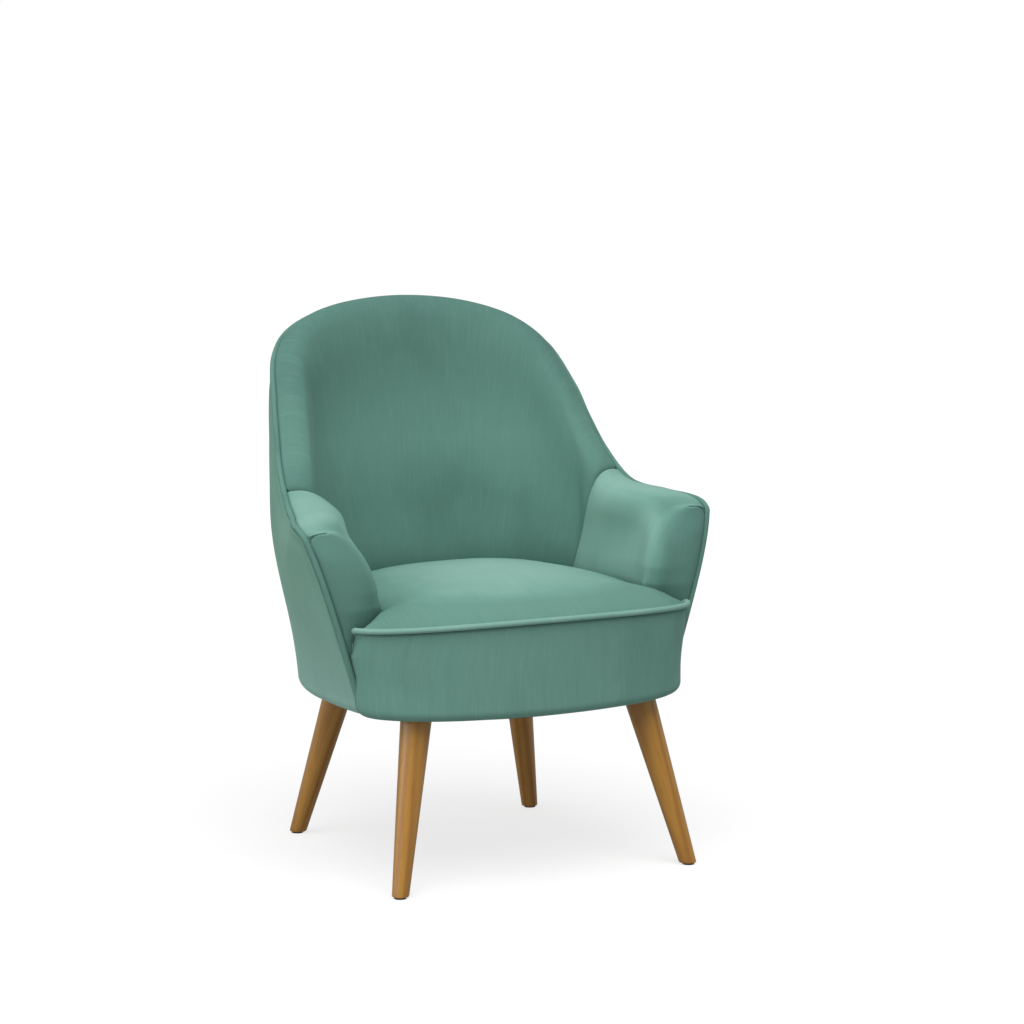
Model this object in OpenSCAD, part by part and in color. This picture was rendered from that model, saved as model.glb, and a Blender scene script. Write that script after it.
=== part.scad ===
// Tub chair: an upholstered shell on four splayed round wooden legs.
// The chair faces -Y. The origin is on the floor under the middle of its box.
// The tub is described by its outside face: a run around it, a height on it and a depth in from it.

/* [Overall] */
// Height from the floor to the top of the back
total_h = 840; // [800:5:880]
// Depth from the seat piping to the back of the shell
total_d = 612; // [580:4:644]
// Width across the arm tips
arm_span = 688; // [660:4:712]

/* [Base] */
// Height of the underside of the upholstery
base_z = 258; // [240:1:280]
// Width of the base at its widest
base_w = 550; // [530:2:570]
// Distance from the arm fronts back to the widest place of the base
base_reach = 104; // [90:2:130]
// Rounding of the lower edge of the cover
base_edge_r = 20; // [15:1:24]
// How far the top of the back lies behind the base
back_rake = 76; // [56:2:96]

/* [Arms] */
// Height of the outer top edge at the arm corners
arm_z = 527; // [505:1:545]
// How far the arm corners lie behind the foot of the arm fronts
arm_lean = 24; // [16:1:32]
// Thickness of a padded arm
arm_pad = 96; // [84:1:104]
// How far the arm pad stands above its piping
arm_crown = 12; // [8:1:18]
// Depth of the roll on the inner side of an arm
arm_roll = 48; // [40:1:56]
// Rounding of the inner front edge of an arm
arm_front_r = 36; // [28:1:42]
// How far the arm fronts swell forward
facing_swell = 20; // [15:0.5:23]

/* [Back] */
// Thickness of the padded back at its upper roll
back_pad = 64; // [56:1:72]
// Thickness of the padded back above the seat
lumbar_pad = 76; // [72:1:84]
// How far the back pad stands above its piping
back_crown = 13; // [8:1:16]
// Depth of the roll around the back
back_roll = 46; // [36:1:56]
// How far the outside of the back bellies out
back_belly = 14; // [10:1:18]

/* [Seat] */
// How far the seat front bows out before the arm fronts
bow = 132; // [116:1:144]
// Width of the seat across its front piping
seat_w = 564; // [552:1:568]
// Width of the front band below the seat
border_w = 540; // [530:1:546]
// Height of the seat piping at the middle of the front
seat_piping_z = 404; // [394:1:414]
// How much lower the seat piping lies at its ends
seat_piping_drop = 12; // [6:1:16]
// Height where the seat meets the arms and the back
seat_edge_z = 418; // [410:1:426]
// Height of the crown of the seat
seat_crown_z = 455; // [444:1:464]
// Thickness of the piping cord
cord_d = 8.6; // [7:0.2:10]

/* [Legs] */
// How far the top of a front leg lies in from the side of the base
front_leg_side = 88.5; // [84:0.5:96]
// How far the top of a front leg lies behind the seat piping
front_leg_in = 98; // [94:0.5:104]
// How far the top of a back leg lies in from the side of the base
back_leg_side = 125; // [118:0.5:130]
// How far the top of a back leg lies before the rear of the base
back_leg_in = 85.7; // [82:0.1:92]
// Sideways splay of each leg over its height
splay_x = 56; // [46:1:64]
// Forward and backward splay of each leg over its height
splay_y = 60; // [50:1:68]
// Diameter of a leg at the floor
foot_d = 25.4; // [22:0.2:28]
// Diameter of a leg under the seat
leg_top_d = 47.8; // [42:0.2:50]

/* [Frame] */
// Height of the base rails
rail_h = 60; // [50:1:64]
// Thickness of the base rails
rail_t = 22; // [18:1:24]
// Thickness of the boards and posts of the tub
post_t = 18; // [15:1:20]
// Thickness of the cover cloth with its wadding
cloth_t = 3; // [2:0.2:4]
// Number of spring rows across the seat
spring_rows = 5; // [4:1:6]

/* [Hidden] */
// Clearance between neighbouring soft pieces
gap = 0.4;
// Clearance between the frame boards and the soft pieces beside them
frame_gap = 0.9;
// Overrun of a cut past the piece that it cuts
over = 4;
// Small step along the tub for directions
step_share = 0.004;

cord_r = cord_d / 2;
half_w = arm_span / 2;
seat_front_y = -total_d / 2 + cord_r;
front_y = seat_front_y + bow;
corner_y = front_y + arm_lean;
back_y = total_d / 2;
rim_top_z = total_h - back_crown;
base_mid_y = front_y + base_reach;
base_len = back_y - back_rake - base_mid_y;
wall_z = base_z + base_edge_r;

// The rim from an arm corner to the top of the back, as shares of the half width, the depth and the rise
rim_shares = [
    [0.997, 0, 0], [1, 0.044, 0.03], [0.985, 0.113, 0.047], [0.933, 0.223, 0.06],
    [0.869, 0.376, 0.09], [0.828, 0.509, 0.235], [0.793, 0.595, 0.4], [0.764, 0.666, 0.56],
    [0.7, 0.783, 0.762], [0.56, 0.889, 0.89], [0.32, 0.969, 0.97], [0, 1, 1]
];
// Where the arm pad meets the back pad, as a share of the run around the tub
seam_share = 0.202;
// Roundness of the base in plan: 2 is an ellipse, more is squarer
plan_power = 2.5;

function mix(a, b, f) = a + (b - a) * f;
function within(f, low, high) = max(low, min(high, f));
function ease(f) = let(c = within(f, 0, 1)) c * c * (3 - 2 * c);
function swell(f) = let(c = 1 - within(f, 0, 1)) sqrt(1 - c * c);
function unit(v) = v / norm(v);
function signed_power(x, p) = sign(x) * pow(abs(x), p);
function flip(p) = [-p[0], p[1], p[2]];

// A smooth curve through points, by position along the list
function curve(p, t) =
    let(
        n = len(p) - 1,
        i = within(floor(t), 0, n - 1),
        f = t - i,
        a = p[i],
        b = p[i + 1],
        before = i > 0 ? p[i - 1] : 2 * a - b,
        after = i < n - 1 ? p[i + 2] : 2 * b - a
    )
    (2 * a + (b - before) * f + (2 * before - 5 * a + 4 * b - after) * f * f
        + (3 * a - before - 3 * b + after) * f * f * f) / 2;

right_rim = [
    for (s = rim_shares)
        [s[0] * half_w, mix(corner_y, back_y, s[1]), mix(arm_z, rim_top_z, s[2])]
];
full_rim = concat(right_rim, [for (i = [len(right_rim) - 2:-1:0]) flip(right_rim[i])]);

// The run goes from 0 at the right arm front over 0.5 at the back to 1 at the left arm front
function rim(a) = curve(full_rim, a * (len(full_rim) - 1));
plan_start = -asin(pow(base_reach / base_len, plan_power / 2));
function plan(a) =
    let(t = mix(plan_start, 180 - plan_start, a))
    [
        base_w / 2 * signed_power(cos(t), 2 / plan_power),
        base_mid_y + base_len * signed_power(sin(t), 2 / plan_power),
        wall_z
    ];
function from_front(a) = 2 * min(a, 1 - a);
// Where the belly of the cover has its full depth, and where the lean of the arm fronts has died away
belly_share = 0.45;
belly_power = 2;
lean_share = 0.2;
lean_power = 5;
function outward(a) =
    let(
        b = within(a, step_share, 1 - step_share),
        t = plan(b + step_share) + rim(b + step_share) - plan(b - step_share) - rim(b - step_share)
    )
    unit([t[1], -t[0], 0]);
// The outside face by run and height share, with its belly and the curved arm fronts
function wall(a, v) =
    let(
        low = plan(a),
        high = rim(a),
        belly = back_belly * sin(180 * pow(within(v, 0, 1), belly_power)) * swell(from_front(a) / belly_share),
        lean = (high[1] - low[1]) * (pow(within(v, 0, 1), lean_power) - within(v, 0, 1)),
        frontness = pow(1 - within(from_front(a) / lean_share, 0, 1), 2)
    )
    mix(low, high, v) + outward(a) * belly + [0, lean * frontness, 0];
// A point at a height, in from the outside face by a depth
function tub(a, z, depth) =
    let(top = rim(a)[2])
    wall(a, (z - wall_z) / (top - wall_z)) - outward(a) * depth;
function at_z(p, z) = [p[0], p[1], z];
// The rounded lower edge, by angle from the wall to the underside
function lower_edge(a, turn, depth) =
    let(r = base_edge_r - depth)
    tub(a, wall_z, base_edge_r) + outward(a) * r * cos(turn) - [0, 0, r * sin(turn)];

// Depth and height of a padded section: over the roll, then down the inner face
function roll(w, start, pad, crown, drop, peak) =
    w < 1
        ? [mix(start, pad, peak * (1 - cos(90 * w))), crown * sin(90 * w)]
        : [mix(start, pad, peak + (1 - peak) * sin(90 * (w - 1))), crown - drop * (1 - cos(90 * (w - 1)))];

// Section sizes at the seam between arm and back, where both pads are drawn down
seam_pad_share = 0.8;
seam_drop = arm_roll * 2;
seam_crown = arm_crown / 7;
seam_peak_share = 0.2;
arm_peak_share = 0.48;
back_peak_share = 0.46;
// Distance along the rim from the arm front, beside the share of the run that it stands for
run_marks = 24;
function rim_mark(i) = let(p = rim(seam_share * i / run_marks)) [p[0], p[1]];
run_table = [
    for (i = 0, d = 0; i <= run_marks; i = i + 1, d = d + norm(rim_mark(i) - rim_mark(i - 1)))
        [d, seam_share * i / run_marks]
];
arm_run = run_table[run_marks][0];
function run_at(distance) = lookup(distance, run_table);
// Distance over which a pad rises from its seam
seam_rise = arm_roll;
function seam_part(a) = swell(abs(min(a, 1 - a) - seam_share) / seam_share * arm_run / seam_rise);
function is_arm(a) = min(a, 1 - a) < seam_share;
function pad_of(a) = mix(arm_pad * seam_pad_share, is_arm(a) ? arm_pad : back_pad, seam_part(a));
function crown_of(a) = mix(seam_crown, is_arm(a) ? arm_crown : back_crown, seam_part(a));
function drop_of(a) = mix(seam_drop, is_arm(a) ? arm_roll : back_roll, seam_part(a));
function peak_of(a) = mix(seam_peak_share, is_arm(a) ? arm_peak_share : back_peak_share, seam_part(a));
function low_pad_of(a) = mix(arm_pad * seam_pad_share, is_arm(a) ? arm_pad : lumbar_pad, seam_part(a));

deck_z = base_z + cloth_t + rail_h;
wire_d = 3.8;
hessian_t = 1.6;
clip_t = 1.2;
hessian_z = deck_z + 2 * clip_t + wire_d + gap;
foam_z = hessian_z + hessian_t + gap;

// Row at which a roll has come in to a depth
function row_at(depth, start, pad, peak) =
    let(f = (depth - start) / (pad - start))
    f < peak ? acos(1 - f / peak) / 90 : 1 + asin((f - peak) / (1 - peak)) / 90;
// Inner face of the pads: w from 0 to 2 over the roll, to 3 down to the seat, to 4 down beside it
function pad_point(a, w, skin, start) =
    let(
        pad = pad_of(a) - skin,
        crown = crown_of(a) - skin,
        p = roll(min(w, 2), start, pad, crown, drop_of(a), peak_of(a)),
        top = rim(a)[2],
        roll_end = top + crown - drop_of(a),
        low = mix(pad, low_pad_of(a) - skin, ease(w - 2))
    )
    w <= 2
        ? at_z(tub(a, top + p[1], p[0]), top + p[1])
        : w <= 3
            ? at_z(tub(a, mix(roll_end, seat_edge_z, w - 2), low), mix(roll_end, seat_edge_z, w - 2))
            : at_z(tub(a, seat_edge_z, low_pad_of(a) - skin), mix(seat_edge_z, foam_z, w - 3));
// Outer side of the foam, just inside the frame and the webbing
foam_depth = cloth_t + post_t + 5 * frame_gap + clip_t + 2 * gap;
function foam_back(a, z, row) =
    let(level = min(z, rim(a)[2] - cord_d - foam_step * row))
    at_z(tub(a, level, foam_depth), level);
foam_step = 3;

// Closed solid between two grids of points with the same rows and columns
module between(face, rear) {
    rows = len(face);
    cols = len(face[0]);
    count = rows * cols;
    points = concat([for (r = face) each r], [for (r = rear) each r]);
    function quad(a, b, c, d) = [[a, b, c], [a, c, d]];
    faces = concat(
        [for (i = [0:rows - 2], j = [0:cols - 2])
            each quad(i * cols + j, i * cols + j + 1, (i + 1) * cols + j + 1, (i + 1) * cols + j)],
        [for (i = [0:rows - 2], j = [0:cols - 2])
            each quad(count + (i + 1) * cols + j, count + (i + 1) * cols + j + 1,
                count + i * cols + j + 1, count + i * cols + j)],
        [for (i = [0:rows - 2])
            each quad((i + 1) * cols, count + (i + 1) * cols, count + i * cols, i * cols)],
        [for (i = [0:rows - 2])
            each quad(i * cols + cols - 1, count + i * cols + cols - 1,
                count + (i + 1) * cols + cols - 1, (i + 1) * cols + cols - 1)],
        [for (j = [0:cols - 2])
            each quad(j, count + j, count + j + 1, j + 1)],
        [for (j = [0:cols - 2])
            each quad((rows - 1) * cols + j + 1, count + (rows - 1) * cols + j + 1,
                count + (rows - 1) * cols + j, (rows - 1) * cols + j)]
    );
    polyhedron(points, faces, convexity = 8);
}

// Round cord along a path, with its rings turned towards one middle point
module cord(path, radius, middle, sides = 6) {
    last = len(path) - 1;
    rings = [
        for (i = [0:last])
            let(
                along = unit(path[min(i + 1, last)] - path[max(i - 1, 0)]),
                to_middle = middle - path[i],
                side = unit(to_middle - along * (to_middle * along)),
                other = cross(side, along)
            )
            [for (k = [0:sides - 1]) path[i] + radius * (cos(360 * k / sides) * side + sin(360 * k / sides) * other)]
    ];
    count = (last + 1) * sides;
    faces = concat(
        [[for (k = [sides - 1:-1:0]) k]],
        [[for (k = [0:sides - 1]) last * sides + k]],
        [for (i = [0:last - 1], k = [0:sides - 1])
            let(n = (k + 1) % sides)
            each [[i * sides + k, i * sides + n, (i + 1) * sides + n], [i * sides + k, (i + 1) * sides + n, (i + 1) * sides + k]]]
    );
    polyhedron([for (r = rings) each r], faces, convexity = 8);
}

fabric_colour = [0.38, 0.55, 0.51];
piping_colour = [0.36, 0.52, 0.48];
foam_colour = [0.93, 0.9, 0.78];
beech_colour = [0.84, 0.71, 0.52];
leg_colour = [0.72, 0.47, 0.17];
steel_colour = [0.7, 0.71, 0.73];
black_colour = [0.13, 0.13, 0.14];
hessian_colour = [0.74, 0.62, 0.44];

// Outside cover, in one piece around the arms and the back
wall_cols = 44;
wall_rows = 7;
edge_turns = 4;
// Width of the cloth turned in under the rails
lip_w = 5;
// The cover ends beside the piping, at the same distance at every height
function cord_share(v) = (cord_r + gap) * step_share / norm(wall(step_share, v) - wall(0, v));
function column(i, v = 1) = mix(cord_share(v), 1 - cord_share(v), i / wall_cols);
function cover_grid(depth) = [
    for (i = [0:wall_cols])
        let(low = column(i, 0))
        concat(
            [at_z(tub(low, wall_z, base_edge_r + lip_w), base_z + depth)],
            [for (k = [0:edge_turns]) lower_edge(low, 90 * (1 - k / edge_turns), depth)],
            [for (j = [1:wall_rows])
                let(a = column(i, j / wall_rows), top = rim(a)[2] - cord_r - frame_gap)
                tub(a, mix(wall_z, top, j / wall_rows), depth)]
        )
];
module outside_cover() {
    color(fabric_colour) between(cover_grid(0), cover_grid(cloth_t));
}

// Back pad, from seam to seam
back_cols = 32;
back_row_shares = [0.15, 0.4, 0.7, 1, 1.3, 1.6, 2, 2.33, 2.66, 3, 4];
// Rows of the foam as shares of the roll, then of the inner face
foam_row_shares = [0, 0.25, 0.5, 0.75, 1, 1.33, 1.66, 2, 3];
function foam_row(share, first) = share < 1 ? mix(first, 2, share) : share + 1;
seam_gap_share = seam_share - run_at(arm_run - gap);
function back_run(i, cols, gaps = 1) =
    let(start = seam_share + gaps * seam_gap_share)
    mix(start, 1 - start, i / cols);
function back_grid(skin) = [
    for (i = [0:back_cols])
        [for (w = back_row_shares) pad_point(back_run(i, back_cols), w, skin, cord_d + gap + skin / 2)]
];
module inside_back_cover() {
    color(fabric_colour) between(back_grid(0), back_grid(cloth_t));
}
module back_foam() {
    skin = cloth_t + frame_gap + 2 * gap;
    start = cord_d + gap;
    face = [
        for (i = [0:back_cols])
            let(a = back_run(i, back_cols, 3), first = row_at(foam_depth + frame_gap, start, pad_of(a) - skin, peak_of(a)))
            [for (share = foam_row_shares) pad_point(a, foam_row(share, first), skin, start)]
    ];
    rear = [
        for (i = [0:back_cols])
            [for (j = [0:len(foam_row_shares) - 1]) foam_back(back_run(i, back_cols, 3), face[i][j][2], j)]
    ];
    color(foam_colour) between(face, rear);
}

// Arm pads: level slices run forward from the seam, round the front corner and cross the facing
arm_cols = 16;
arm_row_shares = [0.15, 0.4, 0.7, 1, 1.2, 1.4, 1.6, 1.8, 2, 2.33, 2.66, 3, 4];
corner_power = 1.3;
facing_power = 1.5;
inner_end_share = 0.4;
corner_end_share = 0.75;
// The arm fronts are fullest between the roll and the seat, and flatten out below it
nose_share = 0.45;
nose_run = arm_pad * nose_share;
roll_full_share = 0.4;
function fullness(w) = w < 2 ? mix(roll_full_share, 1, ease(w / 2)) : min(1, 4 - w);
function nose(side, w, skin, start) = skin - facing_swell * fullness(w) * swell((side - start) / nose_run);
// A point of an arm pad and its distance behind the arm front
function arm_at(u, w, skin, start, edge) =
    let(
        full = arm_pad - skin,
        reach = w <= 2 ? roll(w, start, full, 0, arm_roll, arm_peak_share)[0] : full,
        r = (arm_front_r - skin) * pow((reach - start) / (full - start), corner_power),
        turn = 90 * within((u - inner_end_share) / (corner_end_share - inner_end_share), 0, 1),
        across = within((u - corner_end_share) / (1 - corner_end_share), 0, 1),
        side = across > 0 ? mix(reach - r, edge, across) : reach - r + r * cos(turn),
        front = across > 0 ? nose(side, w, skin, start) : nose(reach - r, w, skin, start) + r * (1 - sin(turn)),
        back = turn > 0 ? front : mix(arm_run - gap, front, u / inner_end_share),
        a = run_at(back),
        top = rim(a)[2],
        crown = crown_of(a) - skin,
        p = roll(min(w, 2), start, pad_of(a) - skin, crown, drop_of(a), peak_of(a)),
        outer = turn > 0 ? 1 - (side - start) / (reach - start) : 0,
        front_drop = (drop_of(a) - crown) * pow(min(w, 2) / 2, facing_power),
        z = w <= 2
            ? top + mix(p[1], -front_drop, ease(outer))
            : w <= 3 ? mix(top + crown - drop_of(a), seat_edge_z, w - 2) : mix(seat_edge_z, foam_z, w - 3),
        inner = w <= 2 ? p[0] : mix(pad_of(a), low_pad_of(a), ease(w - 2)) - skin,
        level = w <= 3 ? z : mix(seat_edge_z, z, ease(outer)),
        q = tub(a, level, turn > 0 ? side : inner)
    )
    [[q[0], q[1] + min(back, 0), z], back];
function arm_grid(skin, start, steps) = [
    for (i = [0:arm_cols])
        [for (w = steps) arm_at(i / arm_cols, w, skin, start, start)[0]]
];
module arm_cover_right() {
    color(fabric_colour)
        between(
            arm_grid(cloth_t, cord_d + gap + cloth_t / 2, arm_row_shares),
            arm_grid(0, cord_d + gap, arm_row_shares)
        );
}
module arm_cover_left() {
    mirror([1, 0, 0]) arm_cover_right();
}
module arm_foam_right() {
    skin = cloth_t + 2 * gap;
    start = cord_d + gap;
    // The seam end starts past its peak, and the rest where the front corner clears the post
    seam_first = row_at(foam_depth + frame_gap, start, arm_pad * seam_pad_share - skin, seam_peak_share);
    arm_first = row_at(foam_depth + arm_front_r / 4, start, arm_pad - skin, arm_peak_share);
    marks = [
        for (i = [0:arm_cols])
            [for (share = foam_row_shares)
                arm_at(i / arm_cols, foam_row(share, i > 0 ? arm_first : seam_first), skin, start, foam_depth + gap)]
    ];
    face = [for (col = marks) [for (m = col) m[0]]];
    rear = [
        for (col = marks)
            [for (j = [0:len(col) - 1]) foam_back(run_at(max(col[j][1], cord_d)), col[j][0][2], j)]
    ];
    color(foam_colour) between(rear, face);
}
module arm_foam_left() {
    mirror([1, 0, 0]) arm_foam_right();
}

// Seat: rows from the front piping back, with ears that pass before the arm fronts
ear_y = front_y - facing_swell - 2 * gap;
seat_half_w = seat_w / 2;
seat_rise_share = 0.6;
seat_rise_power = 2.6;
seat_side_power = 3;
crown_y = front_y + bow * seat_rise_share;
bow_end = acos((front_y - ear_y) / bow);
function piping_z(x) = seat_piping_z - seat_piping_drop * pow(x / seat_half_w, 2);
// Inner outline of the arms and the back at the height of the seat, from the right arm front
ear_cols = floor(corner_end_share * arm_cols) - 1;
inner_outline = concat(
    [for (i = [ear_cols:-1:0]) arm_at(i / arm_cols, 3, 0, cord_d + gap, cord_d + gap)[0]],
    [for (i = [1:back_cols / 2 - 1]) pad_point(back_run(i, back_cols), 3, 0, cord_d + gap)]
);
seat_rear_y = inner_outline[len(inner_outline) - 1][1];
function middle_z(y) =
    y < crown_y
        ? mix(seat_crown_z, seat_piping_z, pow((crown_y - y) / (crown_y - seat_front_y), seat_rise_power))
        : mix(seat_crown_z, seat_edge_z, pow((y - crown_y) / (seat_rear_y - crown_y), seat_rise_power));
// Rows as half width, place along Y and edge height; trim draws the outline in
first_turn = 4;
function seat_rows(trim, turns) = concat(
    [for (i = [0:turns])
        let(t = mix(first_turn, bow_end, i / turns), inset = trim + cord_r + gap, x = (seat_half_w - inset) * sin(t))
        [x, min(front_y - (bow - inset) * cos(t), ear_y - trim), piping_z(x)]],
    [for (p = inner_outline)
        [max(p[0] - trim - 2 * gap, trim), p[1] - trim / 2, seat_edge_z]]
);
function seat_top(trim, lower, turns, halves) = [
    for (row = seat_rows(trim, turns))
        [for (j = [-halves:halves])
            let(s = sin(90 * j / halves), z = mix(middle_z(row[1]), row[2], pow(abs(s), seat_side_power)))
            [row[0] * s, row[1], z - lower]]
];
seat_turns = 8;
seat_halves = 6;
module seat_cover() {
    color(fabric_colour)
        between(seat_top(cloth_t, cloth_t, seat_turns, seat_halves), seat_top(0, 0, seat_turns, seat_halves));
}
module seat_foam() {
    top = seat_top(cloth_t + frame_gap, cloth_t + 2 * frame_gap + gap, seat_turns, seat_halves);
    // The sides taper to the narrower front band below
    taper_share = (beside_piping(foam_z) - cloth_t - 2 * gap) / (seat_half_w - cloth_t - gap);
    color(foam_colour)
        between([for (row = top) [for (p = row) [p[0] * taper_share, p[1], foam_z]]], top);
}

// Front band from the seat piping down and under the front rail
border_edge_r = base_edge_r * 0.7;
border_wall_z = base_z + border_edge_r;
border_end = acos((front_y - ear_y + gap) / (bow - cloth_t));
function beside_piping(z) = wall(0, (z - wall_z) / (arm_z - wall_z))[0] - cord_d - gap;
function border_half_w(z) = min(seat_half_w - cord_r / 2, max(border_w / 2, beside_piping(z)));
// Below the arm pads the band reaches back to the piping
function border_reach(z) =
    mix(cord_r + gap, front_y - ear_y + gap, within((z - foam_z) / (seat_edge_z - foam_z), 0, 1));
function border_point(share, z, depth) =
    let(t = share * acos(border_reach(z) / (bow - cloth_t)))
    [(border_half_w(z) - depth) * sin(t), front_y - (bow - cord_r / 2 - depth) * cos(t), z];
function border_edge(t, turn, depth) =
    let(r = border_edge_r - depth)
    border_point(t, border_wall_z, border_edge_r - r * cos(turn)) - [0, 0, r * sin(turn)];
border_cols = 24;
border_lip_w = 4;
// The band is filled out to the rail behind it, and thin above the deck
border_pad = border_edge_r - gap;
function border_grid(depth, pad) = [
    for (i = [0:border_cols])
        let(t = mix(-1, 1, i / border_cols), top = piping_z(seat_half_w * sin(border_end * t)) - cord_r - gap)
        concat(
            [at_z(border_point(t, border_wall_z, border_edge_r + border_lip_w), base_z + depth)],
            [for (k = [0:edge_turns]) border_edge(t, 90 * (1 - k / edge_turns), depth)],
            [border_point(t, border_wall_z + pad, pad), border_point(t, deck_z, pad), border_point(t, foam_z, depth)],
            [border_point(t, mix(foam_z, top, 1 / 2), depth), border_point(t, top, depth)]
        )
];
module seat_border() {
    color(fabric_colour) between(border_grid(0, 0), border_grid(cloth_t, border_pad));
}
module seat_piping() {
    cols = 2 * border_cols - border_cols / 3;
    path = [
        for (i = [0:cols])
            let(t = mix(-bow_end, bow_end, i / cols), x = seat_half_w * sin(t))
            [x, front_y - bow * cos(t), piping_z(x)]
    ];
    color(piping_colour) cord(path, cord_r, [0, base_mid_y, seat_piping_z]);
}
rim_rings = 52;
front_rings = 8;
module shell_piping() {
    front = concat(
        [for (turn = [80, 50, 20]) lower_edge(0, turn, cord_r)],
        [for (i = [0:front_rings - 1]) tub(0, mix(wall_z, arm_z, i / front_rings), cord_r)]
    );
    over_top = [for (i = [0:rim_rings]) tub(i / rim_rings, rim(i / rim_rings)[2], cord_r)];
    far_side = [for (i = [len(front) - 1:-1:0]) flip(front[i])];
    color(piping_colour)
        cord(concat(front, over_top, far_side), cord_r, [0, base_mid_y, seat_edge_z]);
}

// Frame of the tub: warped boards between the outside cover and the foam
post_depth = cloth_t + frame_gap + gap;
post_gap = cord_d;
post_w = 44;
rail_drop = cord_d + gap;
hoop_h = 46;
back_post_share = 0.03;
hoop_share = seam_share + back_post_share;
// Columns at the places of the columns of the outside cover, so that neighbours bend together
function marks(a0, a1) = concat(
    [a0],
    [for (i = [0:wall_cols]) if (column(i) > a0 + step_share && column(i) < a1 - step_share) column(i)],
    [a1]
);
function board(a0, a1, low, high, rows, t0, t1) = [
    for (depth = [t0, t1])
        [for (a = marks(a0, a1))
            let(top = rim(a)[2] - rail_drop)
            [for (j = [0:rows])
                tub(a, mix(low >= 0 ? low : top + low, high > 0 ? high : top + high, j / rows), depth)]]
];
// Low and high are heights, or distances under the rim where they are not positive
module rim_board(a0, a1, low, high, rows, t0 = post_depth, t1 = post_depth + post_t) {
    g = board(a0, a1, low, high, rows, t0, t1);
    between(g[0], g[1]);
}
post_end = run_at(post_gap + post_w);
run_gap = run_at(gap);
module arm_post_right() {
    color(beech_colour) rim_board(run_at(post_gap), post_end, wall_z, -gap, 6);
}
module arm_rail_right() {
    color(beech_colour) rim_board(post_end + run_gap, seam_share - run_gap, -hoop_h, -gap, 1);
}
module back_post_right() {
    color(beech_colour) rim_board(seam_share, hoop_share - run_gap, wall_z, -gap, 6);
}
module arm_post_left() {
    mirror([1, 0, 0]) arm_post_right();
}
module arm_rail_left() {
    mirror([1, 0, 0]) arm_rail_right();
}
module back_post_left() {
    mirror([1, 0, 0]) back_post_right();
}
module back_hoop() {
    color(beech_colour) rim_board(hoop_share, 1 - hoop_share, -hoop_h, -gap, 1);
}
panel_depth = post_depth + post_t + frame_gap;
module arm_panel_right() {
    color(hessian_colour)
        rim_board(run_at(post_gap), hoop_share - run_gap, deck_z, -rail_drop, 3, panel_depth, panel_depth + clip_t);
}
module arm_panel_left() {
    mirror([1, 0, 0]) arm_panel_right();
}
strap_w_share = 0.026;
straps = 6;
module back_webbing() {
    color(black_colour)
        for (i = [1:straps]) {
            a = mix(hoop_share, 1 - hoop_share, i / (straps + 1));
            rim_board(a - strap_w_share / 2, a + strap_w_share / 2, deck_z, -rail_drop, 4, panel_depth, panel_depth + clip_t);
        }
}

// Base frame: flat outlines that follow the plan of the tub and of the seat front
rail_z = base_z + cloth_t;
rail_in = post_depth + post_t + gap;
front_rail_in = border_edge_r;
plan_steps = 12;
function inset_plan(a, d) = let(p = plan(a) - outward(a) * d) [p[0], p[1]];
function inset_run(from, to, d, steps) = [for (i = [0:steps]) inset_plan(mix(from, to, i / steps), d)];
function reversed(list) = [for (i = [len(list) - 1:-1:0]) list[i]];
front_half_w = beside_piping(border_wall_z);
function inset_bow(from, to, d, steps) = [
    for (i = [0:steps])
        let(t = mix(from, to, i / steps))
        [(front_half_w - d) * sin(t), front_y - (bow - cord_r / 2 - d) * cos(t)]
];
side_end_share = 0.25;
early_share = -1 / 24;
function run_steps(from, to) = round((to - from) * 4 * plan_steps);
module rail_outline(from, to) {
    polygon(concat(
        inset_run(from, to, rail_in, run_steps(from, to)),
        reversed(inset_run(from, to, rail_in + rail_t, run_steps(from, to)))
    ));
}
module before_front() {
    translate([-total_d, front_y - total_d]) square([2 * total_d, total_d]);
}
module at_rail(h = rail_h) {
    translate([0, 0, rail_z]) linear_extrude(height = h) children();
}
module side_rail_right() {
    color(beech_colour)
        difference() {
            at_rail()
                difference() {
                    rail_outline(early_share, side_end_share);
                    before_front();
                }
            block_screw_holes();
        }
}
module side_rail_left() {
    mirror([1, 0, 0]) side_rail_right();
}
module rear_rail() {
    color(beech_colour)
        difference() {
            at_rail() rail_outline(side_end_share, 1 - side_end_share);
            block_screw_holes();
        }
}
module front_rail() {
    color(beech_colour)
        difference() {
            at_rail()
                polygon(concat(
                    inset_bow(-90, 90, front_rail_in, 2 * plan_steps),
                    inset_bow(90, -90, front_rail_in + rail_t, 2 * plan_steps)
                ));
            block_screw_holes();
        }
}
module inside_rails() {
    polygon(inset_bow(-90, 90, front_rail_in + rail_t, 2 * plan_steps));
    difference() {
        polygon(inset_run(early_share, 1 - early_share, rail_in + rail_t, run_steps(early_share, 1 - early_share)));
        before_front();
    }
}

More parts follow.
